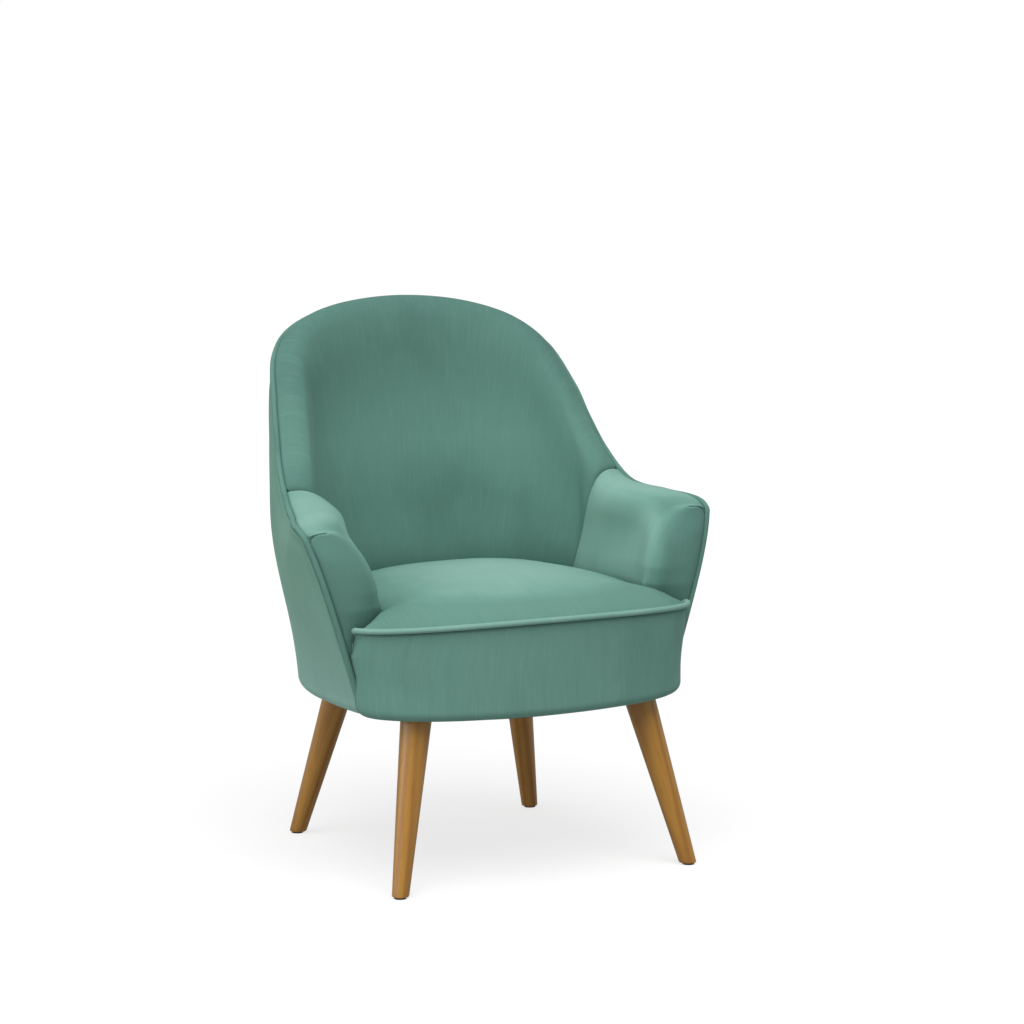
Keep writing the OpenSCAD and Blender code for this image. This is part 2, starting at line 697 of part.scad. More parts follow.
// Legs: round tapers along a splayed axis, cut level at both ends
leg_h = rail_z;
glide_t = 2.5;
glide_d = 18;
pin_d = 3;
pin_l = 12;
bolt_d = 8;
bolt_down = 45;
bolt_fit = 0.2;
block_h = 40;
nut_flange_d = 20;
nut_flange_t = 1.6;
nut_barrel_d = 10.4;
nut_barrel_l = 10;
nut_sink = 9;
front_block = [base_w / 2 - front_leg_side, seat_front_y + front_leg_in];
back_block = [base_w / 2 - back_leg_side, back_y - back_rake - back_leg_in];
front_foot = front_block + [splay_x, -splay_y];
back_foot = back_block + [splay_x, splay_y];
module on_axis(foot, away) {
    lean = [-splay_x, -away * splay_y];
    translate([foot[0], foot[1], 0])
        rotate([0, atan2(norm(lean), leg_h), atan2(lean[1], lean[0])])
            children();
}
axis_l = norm([splay_x, splay_y, leg_h]);
taper = (leg_top_d - foot_d) / 2 / axis_l;
seam_turn = 80;
module leg(foot, away) {
    color(leg_colour)
        difference() {
            difference() {
                on_axis(foot, away)
                    translate([0, 0, -foot_d])
                        rotate([0, 0, seam_turn])
                            cylinder(
                                h = axis_l + foot_d + leg_top_d,
                                r1 = foot_d / 2 - foot_d * taper,
                                r2 = leg_top_d / 2 + leg_top_d * taper,
                                $fn = 64
                            );
                translate([0, 0, glide_t - total_d / 2]) cube(total_d, center = true);
                translate([0, 0, leg_h + total_d / 2]) cube(total_d, center = true);
            }
            on_axis(foot, away)
                translate([0, 0, axis_l - bolt_down - over])
                    rotate([0, 0, seam_turn / 2])
                        cylinder(h = bolt_down + bolt_d + over, d = bolt_d + bolt_fit, $fn = 32);
            translate([foot[0], foot[1], 0]) cylinder(h = glide_t + pin_l + over, d = pin_d + bolt_fit, $fn = 24);
        }
}
module leg_front_right() {
    leg(front_foot, -1);
}
module leg_back_right() {
    leg(back_foot, 1);
}
module leg_front_left() {
    mirror([1, 0, 0]) leg_front_right();
}
module leg_back_left() {
    mirror([1, 0, 0]) leg_back_right();
}
module each_leg() {
    for (side = [0, 1])
        mirror([side, 0, 0]) {
            on_axis(front_foot, -1) children();
            on_axis(back_foot, 1) children();
        }
}
module foot_glides() {
    color(black_colour)
        for (side = [-1, 1], foot = [front_foot, back_foot])
            translate([side * foot[0], foot[1], 0]) {
                cylinder(h = glide_t, d = glide_d, $fn = 48);
                cylinder(h = glide_t + pin_l, d = pin_d, $fn = 24);
            }
}
module hanger_bolts() {
    color(steel_colour)
        each_leg()
            translate([0, 0, axis_l - bolt_down]) cylinder(h = bolt_down + block_h, d = bolt_d, $fn = 32);
}
nut_z = axis_l + block_h - nut_sink;
module tee_nuts() {
    color(steel_colour)
        each_leg()
            difference() {
                union() {
                    translate([0, 0, nut_z]) cylinder(h = nut_flange_t, d = nut_flange_d, $fn = 40);
                    translate([0, 0, nut_z - nut_barrel_l]) cylinder(h = nut_barrel_l, d = nut_barrel_d, $fn = 32);
                }
                translate([0, 0, nut_z - nut_barrel_l - over])
                    cylinder(h = nut_barrel_l + 3 * over, d = bolt_d + bolt_fit, $fn = 32);
            }
}

// Corner blocks: glued and screwed into the angles of the rails, one over each leg
block_reach = 62;
screw_d = 4;
screw_head_d = 8;
screw_l = 52;
// Direction of the block screws, out into the rails on both sides of the leg bolt
front_screw_turn = -57;
back_screw_turn = 52;
screw_apart = 24;
screw_back = 25;
module each_screw() {
    for (side = [0, 1])
        mirror([side, 0, 0])
            for (place = [[front_block, front_screw_turn], [back_block, back_screw_turn]], across = [-1, 1])
                translate([place[0][0], place[0][1], rail_z + block_h / 2])
                    rotate([0, 0, place[1]])
                        translate([-screw_back, across * screw_apart, 0])
                            rotate([0, 90, 0])
                                children();
}
module block_screw_holes() {
    each_screw() {
        cylinder(h = screw_l + over, d = screw_d + bolt_fit, $fn = 24);
        translate([0, 0, screw_d - block_reach]) cylinder(h = block_reach, d = screw_head_d + bolt_fit, $fn = 24);
    }
}
module block_screws() {
    color(steel_colour)
        each_screw() {
            cylinder(h = screw_l, d = screw_d, $fn = 24);
            cylinder(h = screw_d, d = screw_head_d, $fn = 24);
        }
}
module nut_hole() {
    pocket_r = nut_flange_d / 2 + over;
    barrel_r = (nut_barrel_d + bolt_fit) / 2;
    bolt_r = (bolt_d + bolt_fit) / 2;
    bottom = axis_l - bolt_down;
    barrel_z = nut_z - nut_barrel_l - over;
    top = nut_z + block_h;
    rotate([0, 0, seam_turn])
        rotate_extrude($fn = 40)
            polygon([
                [0, bottom], [bolt_r, bottom], [bolt_r, barrel_z], [barrel_r, barrel_z],
                [barrel_r, nut_z], [pocket_r, nut_z], [pocket_r, top], [0, top]
            ]);
}
module corner_blocks() {
    color(beech_colour)
        difference() {
            at_rail(block_h)
                intersection() {
                    inside_rails();
                    for (side = [-1, 1], place = [[front_block, -1], [back_block, 1]])
                        translate([side * (place[0][0] + total_d / 2 - block_reach), place[0][1] + place[1] * (total_d / 2 - block_reach)])
                            square([total_d, total_d], center = true);
                }
            each_leg() nut_hole();
            block_screw_holes();
        }
}

// Seat deck: zigzag springs held by clips on the rails, under a hessian
clip_w = 24;
clip_l = 14;
spring_half_w = 21;
spring_pitch = 23;
spring_corner = 6;
spring_spread = 150;
function row_x(i) = mix(-spring_spread, spring_spread, i / (spring_rows - 1));
function front_end_y(x) =
    front_y - (bow - cord_r / 2 - front_rail_in - rail_t / 2)
        * sqrt(1 - pow(x / (front_half_w - front_rail_in - rail_t / 2), 2));
rear_line = [for (i = [0:plan_steps]) inset_plan(mix(1 / 2, side_end_share, i / plan_steps), rail_in + rail_t / 2)];
function rear_end_y(x) = lookup(abs(x), rear_line);
// Outline of a line of a given half width along a flat path
function stroke(path, half) =
    let(
        last = len(path) - 1,
        side = [
            for (i = [0:last])
                let(
                    u0 = unit(path[max(i, 1)] - path[max(i, 1) - 1]),
                    u1 = unit(path[min(i, last - 1) + 1] - path[min(i, last - 1)]),
                    m = unit([-u0[1] - u1[1], u0[0] + u1[0]])
                )
                m * half / (m * [-u0[1], u0[0]])
        ]
    )
    concat([for (i = [0:last]) path[i] + side[i]], [for (i = [last:-1:0]) path[i] - side[i]]);
function zigzag(x, y0, y1) =
    let(
        bars = 2 * floor((y1 - y0 - 2 * clip_l) / spring_pitch / 2) + 1,
        pitch = (y1 - y0 - 2 * clip_l) / bars,
        c = spring_corner
    )
    concat(
        [[x, y0 - clip_l / 2], [x, y0 + clip_l - c], [x + c, y0 + clip_l]],
        [for (i = [0:bars - 1])
            let(y = y0 + clip_l + pitch * i, s = i % 2 == 0 ? 1 : -1)
            each [
                [x + s * (spring_half_w - c), y], [x + s * spring_half_w, y + c],
                [x + s * spring_half_w, y + pitch - c], [x + s * (spring_half_w - c), y + pitch]
            ]],
        [[x + c, y1 - clip_l], [x, y1 - clip_l + c], [x, y1 + clip_l / 2]]
    );
module seat_springs() {
    color(steel_colour)
        for (i = [0:spring_rows - 1])
            translate([0, 0, deck_z + clip_t])
                linear_extrude(height = wire_d)
                    polygon(stroke(zigzag(row_x(i), front_end_y(row_x(i)), rear_end_y(row_x(i))), wire_d / 2));
}
module spring_clips() {
    tunnel_h = wire_d + gap;
    color(steel_colour)
        for (i = [0:spring_rows - 1], y = [front_end_y(row_x(i)), rear_end_y(row_x(i))])
            translate([row_x(i), y, deck_z])
                difference() {
                    translate([-clip_w / 2, -clip_l / 2, 0]) cube([clip_w, clip_l, tunnel_h + 2 * clip_t]);
                    translate([-tunnel_h / 2, -clip_l, clip_t]) cube([tunnel_h, 2 * clip_l, tunnel_h]);
                }
}
module seat_hessian() {
    color(hessian_colour)
        translate([0, 0, hessian_z])
            linear_extrude(height = hessian_t)
                polygon(concat(
                    inset_bow(-90, 90, front_rail_in, 2 * plan_steps),
                    inset_run(0, 1, rail_in, 4 * plan_steps)
                ));
}

// Underside: a dust cover stapled to the rails around the legs
dust_t = 1;
dust_in = base_edge_r + 2 * dust_t;
staple_w = 10;
staple_d = 1.2;
staple_gap = 42;
module dust_cover() {
    color(black_colour)
        difference() {
            translate([0, 0, base_z - dust_t])
                linear_extrude(height = dust_t)
                    polygon(concat(
                        inset_bow(-90, 90, border_edge_r + 2 * dust_t, 2 * plan_steps),
                        inset_run(0, 1, dust_in, 4 * plan_steps)
                    ));
            for (side = [-1, 1], place = [front_block, back_block])
                translate([side * place[0], place[1], base_z - 2 * dust_t])
                    cylinder(h = 4 * dust_t, d = leg_top_d + 4 * dust_t, $fn = 48);
        }
}
staple_end_share = 0.02;
staple_line = concat(
    inset_bow(-88, 88, border_edge_r + staple_w, 2 * plan_steps),
    inset_run(staple_end_share, 1 - staple_end_share, dust_in + staple_w / 2, 3 * plan_steps)
);
// Distance of a place from the nearest leg axis under the rails
function from_leg(p) =
    let(q = [abs(p[0]), p[1]])
    min(norm(q - front_block), norm(q - back_block));
module dust_cover_staples() {
    color(steel_colour)
        for (i = [0:len(staple_line) - 2]) {
            along = staple_line[i + 1] - staple_line[i];
            count = max(1, round(norm(along) / staple_gap));
            for (k = [0:count - 1]) {
                place = staple_line[i] + along * (k + 1 / 2) / count;
                if (from_leg(place) > leg_top_d / 2 + staple_w)
                    translate([place[0], place[1], base_z - dust_t - staple_d])
                        rotate([0, 0, atan2(along[1], along[0])])
                            translate([-staple_w / 2, -staple_d / 2, 0])
                                cube([staple_w, staple_d, staple_d]);
            }
        }
}

leg_front_left();
leg_front_right();
leg_back_left();
leg_back_right();
foot_glides();
hanger_bolts();
tee_nuts();
corner_blocks();
block_screws();
front_rail();
rear_rail();
side_rail_left();
side_rail_right();
arm_post_left();
arm_post_right();
arm_rail_left();
arm_rail_right();
back_post_left();
back_post_right();
back_hoop();
arm_panel_left();
arm_panel_right();
back_webbing();
seat_springs();
spring_clips();
seat_hessian();
seat_foam();
back_foam();
arm_foam_left();
arm_foam_right();
seat_cover();
seat_border();
inside_back_cover();
arm_cover_left();
arm_cover_right();
outside_cover();
shell_piping();
seat_piping();
dust_cover();
dust_cover_staples();
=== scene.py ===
import math
import bpy
import numpy as np
from mathutils import Matrix, Vector, noise as softNoise
from mathutils.geometry import delaunay_2d_cdt
from mathutils.kdtree import KDTree


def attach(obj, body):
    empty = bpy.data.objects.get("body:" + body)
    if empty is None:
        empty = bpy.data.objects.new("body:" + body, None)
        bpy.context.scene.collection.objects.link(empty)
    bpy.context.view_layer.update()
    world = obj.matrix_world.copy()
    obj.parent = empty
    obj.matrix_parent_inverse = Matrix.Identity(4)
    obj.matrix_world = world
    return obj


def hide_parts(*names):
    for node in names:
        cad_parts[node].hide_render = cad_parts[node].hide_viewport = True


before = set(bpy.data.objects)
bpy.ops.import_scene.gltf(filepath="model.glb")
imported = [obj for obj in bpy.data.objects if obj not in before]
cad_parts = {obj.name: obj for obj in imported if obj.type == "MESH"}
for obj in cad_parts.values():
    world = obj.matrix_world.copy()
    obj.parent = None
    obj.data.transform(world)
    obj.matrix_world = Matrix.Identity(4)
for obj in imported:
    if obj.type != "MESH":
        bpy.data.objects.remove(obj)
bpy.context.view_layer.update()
scene = bpy.context.scene
print("frame loaded:", len(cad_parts), "nodes")

# Every covered piece follows this shell: a run around it, a height on it and a depth in from it.
shell = {
    "height": 0.840, "depth": 0.612, "armSpan": 0.688,
    "baseHeight": 0.258, "baseWidth": 0.550, "baseReach": 0.104, "baseEdge": 0.020, "backRake": 0.076,
    "armHeight": 0.527, "armLean": 0.024, "armPad": 0.096, "armCrown": 0.012, "armRoll": 0.048,
    "armCorner": 0.036, "facingSwell": 0.020, "noseShare": 0.45, "rollFull": 0.4, "armPeak": 0.48,
    "backPad": 0.064, "lumbarPad": 0.076, "backCrown": 0.013, "backRoll": 0.046, "backPeak": 0.46,
    "backBelly": 0.018, "bellyReach": 0.45, "bellyPower": 2, "leanReach": 0.2, "leanPower": 5,
    "seatBow": 0.132, "seatWidth": 0.564, "seatPiping": 0.404, "seatPipingDrop": 0.012,
    "seatEdge": 0.418, "seatCrown": 0.455, "foamLift": 0.0086, "bandWidth": 0.540,
    "cord": 0.0086, "cloth": 0.003, "gap": 0.0004, "railHeight": 0.060, "postDepth": 0.0275, "rowStep": 0.003,
    "planPower": 2.5, "seamAt": 0.202, "seamThin": 0.8, "seamPeak": 0.2,
}
cordR = shell["cord"] / 2
halfW = shell["armSpan"] / 2
seatFrontY = -shell["depth"] / 2 + cordR
frontY = seatFrontY + shell["seatBow"]
cornerY = frontY + shell["armLean"]
backY = shell["depth"] / 2
rimTop = shell["height"] - shell["backCrown"]
baseMidY = frontY + shell["baseReach"]
baseLength = backY - shell["backRake"] - baseMidY
wallZ = shell["baseHeight"] + shell["baseEdge"]
deckZ = shell["baseHeight"] + shell["cloth"] + shell["railHeight"]
foamZ = deckZ + shell["foamLift"]
step = 0.004  # share of the run over which a direction is measured

rimShares = [
    [0.997, 0, 0], [1, 0.044, 0.03], [0.985, 0.113, 0.047], [0.933, 0.223, 0.06],
    [0.869, 0.376, 0.09], [0.828, 0.509, 0.235], [0.793, 0.595, 0.4], [0.764, 0.666, 0.56],
    [0.7, 0.783, 0.762], [0.56, 0.889, 0.89], [0.32, 0.969, 0.97], [0, 1, 1],
]


def mix(a, b, f):
    return a + (b - a) * f


def ease(f):
    c = np.clip(f, 0, 1)
    return c * c * (3 - 2 * c)


def swell(f):
    c = 1 - np.clip(f, 0, 1)
    return np.sqrt(1 - c * c)


def bell(distance, width):
    return np.exp(-(distance / width) ** 2)


def unit(v):
    return v / np.linalg.norm(v, axis=-1, keepdims=True)


def points(x, y, z):
    return np.stack(np.broadcast_arrays(x, y, z), axis=-1).astype(float)


def curveAt(p, t):  # a smooth curve through points, at t points along it
    n = len(p) - 1
    i = np.clip(np.floor(t), 0, n - 1).astype(int)
    f = (t - i)[..., None]
    a, b = p[i], p[i + 1]
    before = np.where((i > 0)[..., None], p[np.maximum(i - 1, 0)], 2 * a - b)
    after = np.where((i < n - 1)[..., None], p[np.minimum(i + 2, n)], 2 * b - a)
    return (2 * a + (b - before) * f + (2 * before - 5 * a + 4 * b - after) * f ** 2
            + (3 * a - before - 3 * b + after) * f ** 3) / 2


def fineCurve(shares, count):
    return curveAt(shares, np.linspace(0, len(shares) - 1, count))


rightRim = np.array([
    [s[0] * halfW, mix(cornerY, backY, s[1]), mix(shell["armHeight"], rimTop, s[2])] for s in rimShares])
fullRim = np.concatenate([rightRim, rightRim[-2::-1] * [-1, 1, 1]])


def rim(a):
    return curveAt(fullRim, np.asarray(a, float) * (len(fullRim) - 1))


def signedPower(x, p):
    return np.sign(x) * np.abs(x) ** p


planStart = -math.asin((shell["baseReach"] / baseLength) ** (shell["planPower"] / 2))


def plan(a):
    t = mix(planStart, math.pi - planStart, np.asarray(a, float))
    e = 2 / shell["planPower"]
    x = shell["baseWidth"] / 2 * signedPower(np.cos(t), e)
    return points(x, baseMidY + baseLength * signedPower(np.sin(t), e), wallZ)


def outward(a):
    b = np.clip(a, step, 1 - step)
    t = plan(b + step) + rim(b + step) - plan(b - step) - rim(b - step)
    return unit(points(t[..., 1], -t[..., 0], 0 * t[..., 0]))


def wallPoint(a, v):
    low, high = plan(a), rim(a)
    c = np.clip(v, 0, 1)
    near = 2 * np.minimum(a, 1 - a)
    belly = shell["backBelly"] * np.sin(math.pi * c ** shell["bellyPower"])
    belly = belly * swell(near / shell["bellyReach"])
    lean = (high[..., 1] - low[..., 1]) * (c ** shell["leanPower"] - c)
    lean = lean * (1 - np.clip(near / shell["leanReach"], 0, 1)) ** 2
    place = mix(low, high, np.asarray(v)[..., None]) + outward(a) * np.asarray(belly)[..., None]
    place[..., 1] += lean
    return place


def tub(a, z, depth):
    a, z, depth = np.broadcast_arrays(np.asarray(a, float), z, depth)
    top = rim(a)[..., 2]
    return wallPoint(a, (z - wallZ) / (top - wallZ)) - outward(a) * depth[..., None]


def atZ(p, z):
    q = p.copy()
    q[..., 2] = z
    return q


def roll(w, start, pad, crown, drop, peak):
    q = np.pi / 2 * w
    rising = mix(start, pad, peak * (1 - np.cos(q)))
    falling = mix(start, pad, peak + (1 - peak) * np.sin(q - np.pi / 2))
    h = np.where(w < 1, crown * np.sin(q), crown - drop * (1 - np.cos(q - np.pi / 2)))
    return np.where(w < 1, rising, falling), h


runShares = shell["seamAt"] * np.linspace(0, 1, 241)
runFlat = rim(runShares)[:, :2]
runDist = np.concatenate([[0], np.cumsum(np.linalg.norm(np.diff(runFlat, axis=0), axis=1))])
armRun = runDist[-1]


def runAt(distance):
    return np.interp(distance, runDist, runShares)


def seamPart(a):
    return swell(np.abs(np.minimum(a, 1 - a) - shell["seamAt"]) / shell["seamAt"] * armRun / shell["armRoll"])


def section(a, atSeam, atArm, atBack):
    arm = np.minimum(a, 1 - a) < shell["seamAt"]
    return mix(atSeam, np.where(arm, atArm, atBack), seamPart(a))


def padOf(a):
    return section(a, shell["armPad"] * shell["seamThin"], shell["armPad"], shell["backPad"])


def lowPadOf(a):
    return section(a, shell["armPad"] * shell["seamThin"], shell["armPad"], shell["lumbarPad"])


def crownOf(a):
    return section(a, shell["armCrown"] / 7, shell["armCrown"], shell["backCrown"])


def dropOf(a):
    return section(a, shell["armRoll"] * 2, shell["armRoll"], shell["backRoll"])


def peakOf(a):
    return section(a, shell["seamPeak"], shell["armPeak"], shell["backPeak"])


def padHeight(w, onRoll, end):  # over the roll, down the face to the seat and on down to the foam
    edge = shell["seatEdge"]
    return np.where(w <= 2, onRoll, np.where(w <= 3, mix(end, edge, w - 2), mix(edge, foamZ, w - 3)))


def padPoint(a, w, start, skin=0.0):
    a, w = np.broadcast_arrays(np.asarray(a, float), np.asarray(w, float))
    pad, crown, drop, top = padOf(a) - skin, crownOf(a) - skin, dropOf(a), rim(a)[..., 2]
    d, h = roll(np.minimum(w, 2), start, pad, crown, drop, peakOf(a))
    low = mix(pad, lowPadOf(a) - skin, ease(w - 2))
    z = padHeight(w, top + h, top + crown - drop)
    level = np.where(w <= 3, z, shell["seatEdge"])
    return atZ(tub(a, level, np.where(w <= 2, d, low)), z)


def padRear(a, z, row):
    level = np.minimum(z, rim(a)[..., 2] - shell["cord"] - shell["rowStep"] * row)
    return atZ(tub(a, level, shell["postDepth"]), level)


# Across an arm: its inner side, the corner from cornerFrom, and the facing from frontFrom to the piping
armWay = {
    "cornerFrom": 0.4, "cornerSpan": 0.35, "frontFrom": 0.75, "frontSpan": 0.25, "grow": 1.3, "fall": 1.5,
}


def nose(side, w, start, skin=0.0):  # the arm fronts are fullest between the roll and the seat
    full = np.where(w < 2, mix(shell["rollFull"], 1, ease(w / 2)), np.clip(4 - w, 0, 1))
    return skin - shell["facingSwell"] * full * swell((side - start) / (shell["armPad"] * shell["noseShare"]))


def armPoint(u, w, start, skin=0.0):
    u, w = np.broadcast_arrays(np.asarray(u, float), np.asarray(w, float))
    full = shell["armPad"] - skin
    onTop = roll(np.minimum(w, 2), start, full, 0, shell["armRoll"], shell["armPeak"])[0]
    reach = np.where(w <= 2, onTop, full)
    r = (shell["armCorner"] - skin) * np.clip((reach - start) / (full - start), 0, 1) ** armWay["grow"]
    turn = np.pi / 2 * np.clip((u - armWay["cornerFrom"]) / armWay["cornerSpan"], 0, 1)
    across = np.clip((u - armWay["frontFrom"]) / armWay["frontSpan"], 0, 1)
    side = np.where(across > 0, mix(reach - r, start, across), reach - r + r * np.cos(turn))
    round_ = nose(reach - r, w, start, skin) + r * (1 - np.sin(turn))
    front = np.where(across > 0, nose(side, w, start, skin), round_)
    back = np.where(turn > 0, front, mix(armRun - shell["gap"], front, u / armWay["cornerFrom"]))
    a = runAt(back)
    top, crown, drop = rim(a)[..., 2], crownOf(a) - skin, dropOf(a)
    d, h = roll(np.minimum(w, 2), start, padOf(a) - skin, crown, drop, peakOf(a))
    outer = np.where(turn > 0, 1 - (side - start) / np.maximum(reach - start, 1e-6), 0)
    frontDrop = (drop - crown) * (np.minimum(w, 2) / 2) ** armWay["fall"]
    z = padHeight(w, top + mix(h, -frontDrop, ease(outer)), top + crown - drop)
    inner = np.where(w <= 2, d, mix(padOf(a), lowPadOf(a), ease(w - 2)) - skin)
    level = np.where(w <= 3, z, mix(shell["seatEdge"], z, ease(outer)))
    q = tub(a, level, np.where(turn > 0, side, inner))
    q[..., 1] += np.minimum(back, 0)
    return atZ(q, z), back


def newMesh(name, verts, faces, smooth=True):
    mesh = bpy.data.meshes.new(name)
    mesh.from_pydata([tuple(v) for v in verts], [], [tuple(int(i) for i in f) for f in faces])
    mesh.validate()
    obj = bpy.data.objects.new(name, mesh)
    scene.collection.objects.link(obj)
    mesh.polygons.foreach_set("use_smooth", [smooth] * len(mesh.polygons))
    return obj


def gridFaces(rows, cols, first=0, flip=False):
    i, j = np.meshgrid(np.arange(rows - 1), np.arange(cols - 1), indexing="ij")
    q = first + i * cols + j
    quads = np.stack([q, q + 1, q + cols + 1, q + cols], axis=-1).reshape(-1, 4)
    return quads[:, ::-1] if flip else quads


def faceOut(obj):
    if signedVolume(obj.data) < 0:
        obj.data.flip_normals()


def layCloth(obj, uv):  # how the cloth lies on the piece, a place in it for each vertex
    layer = obj.data.uv_layers.new(name="cloth")
    loops = np.zeros(len(obj.data.loops), int)
    obj.data.loops.foreach_get("vertex_index", loops)
    layer.data.foreach_set("uv", uv[loops].astype(np.float32).ravel())


def closedGrid(name, face, rear, uv=None):  # the solid between two grids of points
    rows, cols = face.shape[:2]
    n = rows * cols
    verts = np.concatenate([face.reshape(-1, 3), rear.reshape(-1, 3)])
    edge = []
    for i in range(rows - 1):
        a, b = i * cols, (i + 1) * cols
        edge += [(b, n + b, n + a, a), (a + cols - 1, n + a + cols - 1, n + b + cols - 1, b + cols - 1)]
    for j in range(cols - 1):
        a, b = (rows - 1) * cols + j, j
        edge += [(b, n + b, n + b + 1, b + 1), (a + 1, n + a + 1, n + a, a)]
    faces = np.concatenate([gridFaces(rows, cols), gridFaces(rows, cols, n, True), np.array(edge)])
    obj = newMesh(name, verts, faces)
    faceOut(obj)
    if uv is not None:
        layCloth(obj, np.concatenate([uv.reshape(-1, 2)] * 2))
    return obj


def coords(mesh):
    co = np.zeros(len(mesh.vertices) * 3)
    mesh.vertices.foreach_get("co", co)
    return co.reshape(-1, 3)


def setCoords(mesh, co):
    mesh.vertices.foreach_set("co", np.asarray(co, np.float32).ravel())
    mesh.update()


def normals(mesh):
    no = np.zeros(len(mesh.vertices) * 3)
    mesh.vertex_normals.foreach_get("vector", no)
    return no.reshape(-1, 3)


def signedVolume(mesh):
    mesh.calc_loop_triangles()
    tri = np.zeros(len(mesh.loop_triangles) * 3, int)
    mesh.loop_triangles.foreach_get("vertices", tri)
    p = coords(mesh)[tri.reshape(-1, 3)]
    return float(np.einsum("ij,ij->i", p[:, 0], np.cross(p[:, 1], p[:, 2])).sum() / 6)


def paint(obj, name, values):
    layer = obj.data.attributes.get(name) or obj.data.attributes.new(name, "FLOAT", "POINT")
    layer.data.foreach_set("value", np.asarray(values, np.float32))


def applyModifiers(obj):
    bpy.context.view_layer.update()
    mesh = bpy.data.meshes.new_from_object(obj.evaluated_get(bpy.context.evaluated_depsgraph_get()))
    obj.modifiers.clear()
    old, obj.data = obj.data, mesh
    mesh.name = obj.name
    bpy.data.meshes.remove(old)
    mesh.polygons.foreach_set("use_smooth", [True] * len(mesh.polygons))


def subdivide(obj):
    obj.modifiers.new("smooth", "SUBSURF").levels = 1
    applyModifiers(obj)


def distanceTo(obj, line):
    tree = KDTree(len(line))
    for i, p in enumerate(line):
        tree.insert(Vector(p), i)
    tree.balance()
    return np.array([tree.find(v.co)[2] for v in obj.data.vertices])


def seamShade(obj, *seams):  # painted shade along seams: each seam is its line, the reach of its shade and how dark it is at the line
    shade = np.zeros(len(obj.data.vertices))
    for line, reach, dark in seams:
        shade = np.maximum(shade, dark * np.clip(1 - distanceTo(obj, line) / reach, 0, 1))
    paint(obj, "seam", shade)


def paintLightAndShade(obj, amount):  # painted light and shade: the velvet is painted lighter where the amount is above 0 and darker where it is below
    paint(obj, "nap", np.broadcast_to(amount, len(obj.data.vertices)))


def push(obj, amount):  # moves each point along its normal
    setCoords(obj.data, coords(obj.data) + normals(obj.data) * np.asarray(amount)[:, None])


def soften(obj, scale, amount, seed, keep):  # low uneven places, as in stuffed cloth
    shift = Vector((seed, 3.7 * seed, 1.9 * seed))
    push(obj, amount * np.array([softNoise.noise(v.co * scale + shift) for v in obj.data.vertices]) * keep)


def spread(mesh, values, shares):  # each value moves a share of the way to the mean of its neighbours
    ends = np.zeros(len(mesh.edges) * 2, int)
    mesh.edges.foreach_get("vertices", ends)
    a, b = ends.reshape(-1, 2).T
    count = np.bincount(ends, minlength=len(values))[:, None]
    for share in shares:
        total = np.zeros_like(values)
        np.add.at(total, a, values[b])
        np.add.at(total, b, values[a])
        values = values + share * (total / count - values)
    return values


def relax(obj, free, rounds):  # evens out a surface where it is free
    setCoords(obj.data, spread(obj.data, coords(obj.data), [0.5 * free[:, None]] * rounds))


# Cloth for the stuffed pads: its swell is kept and its ripples are evened out
stuffing = {"quality": 6, "mass": 0.25, "tension_stiffness": 18, "compression_stiffness": 18,
            "shear_stiffness": 8, "bending_stiffness": 0.6, "use_pressure": True, "vertex_group_mass": "sewn"}
stuffingFrames, evenShare, evenRounds = 20, 0.6, 40


def settle(obj, loose, pressure, cap):  # cloth under pressure, held where loose is 0
    before = coords(obj.data)
    sewn = obj.vertex_groups.new(name="sewn")
    for i in np.nonzero(loose < 1)[0]:
        sewn.add([int(i)], float(1 - loose[i]), "REPLACE")
    m = obj.modifiers.new("stuffing", "CLOTH")
    for key, value in stuffing.items():
        setattr(m.settings, key, value)
    m.settings.uniform_pressure_force = pressure
    m.settings.effector_weights.gravity = 0
    m.collision_settings.use_collision = False
    m.point_cache.frame_start, m.point_cache.frame_end = 1, stuffingFrames
    for f in range(1, stuffingFrames + 1):
        scene.frame_set(f)
    move = coords(obj.evaluated_get(bpy.context.evaluated_depsgraph_get()).data) - before
    obj.modifiers.remove(m)
    obj.vertex_groups.remove(sewn)
    scene.frame_set(1)
    size = np.linalg.norm(move, axis=1, keepdims=True)
    move = move * cap * np.tanh(size / cap) / np.maximum(size, 1e-9)
    move = spread(obj.data, move, [evenShare * (loose > 0)[:, None]] * evenRounds)
    move = move * np.clip(loose, 0, 1)[:, None]
    setCoords(obj.data, before + move)
    kept = np.linalg.norm(move, axis=1).max()
    print(obj.name, "settled, moves of up to %.1f mm kept as %.1f mm" % (1000 * size.max(), 1000 * kept))


def feed(tree, socket, value):  # a link from another node, or a constant
    if isinstance(value, bpy.types.NodeSocket):
        tree.links.new(value, socket)
    elif value is not None:
        socket.default_value = value


def add(tree, kind, inputs=None, **settings):
    node = tree.nodes.new(kind)
    for key, value in settings.items():
        setattr(node, key, value)
    for label, value in (inputs or {}).items():
        feed(tree, node.inputs[label], value)
    return node


def group(name, vectors, colours, numbers=()):  # a shader group and the labels of what it is given
    tree = bpy.data.node_groups.new(name, "ShaderNodeTree")
    for kind, labels in (("Vector", vectors), ("Color", colours), ("Float", numbers)):
        for label in labels:
            tree.interface.new_socket(label, in_out="INPUT", socket_type="NodeSocket" + kind)
    for label, kind in (("Colour", "Color"), ("Roughness", "Float"), ("Height", "Float")):
        tree.interface.new_socket(label, in_out="OUTPUT", socket_type="NodeSocket" + kind)
    return tree, tree.nodes.new("NodeGroupInput").outputs


def deliver(tree, colour, roughness, height):
    add(tree, "NodeGroupOutput", {"Colour": colour, "Roughness": roughness, "Height": height})
    return tree


def maths(tree, operation, a, b, clamp=False):
    return add(tree, "ShaderNodeMath", {0: a, 1: b}, operation=operation, use_clamp=clamp).outputs[0]


def times(tree, a, b):
    return maths(tree, "MULTIPLY", a, b)


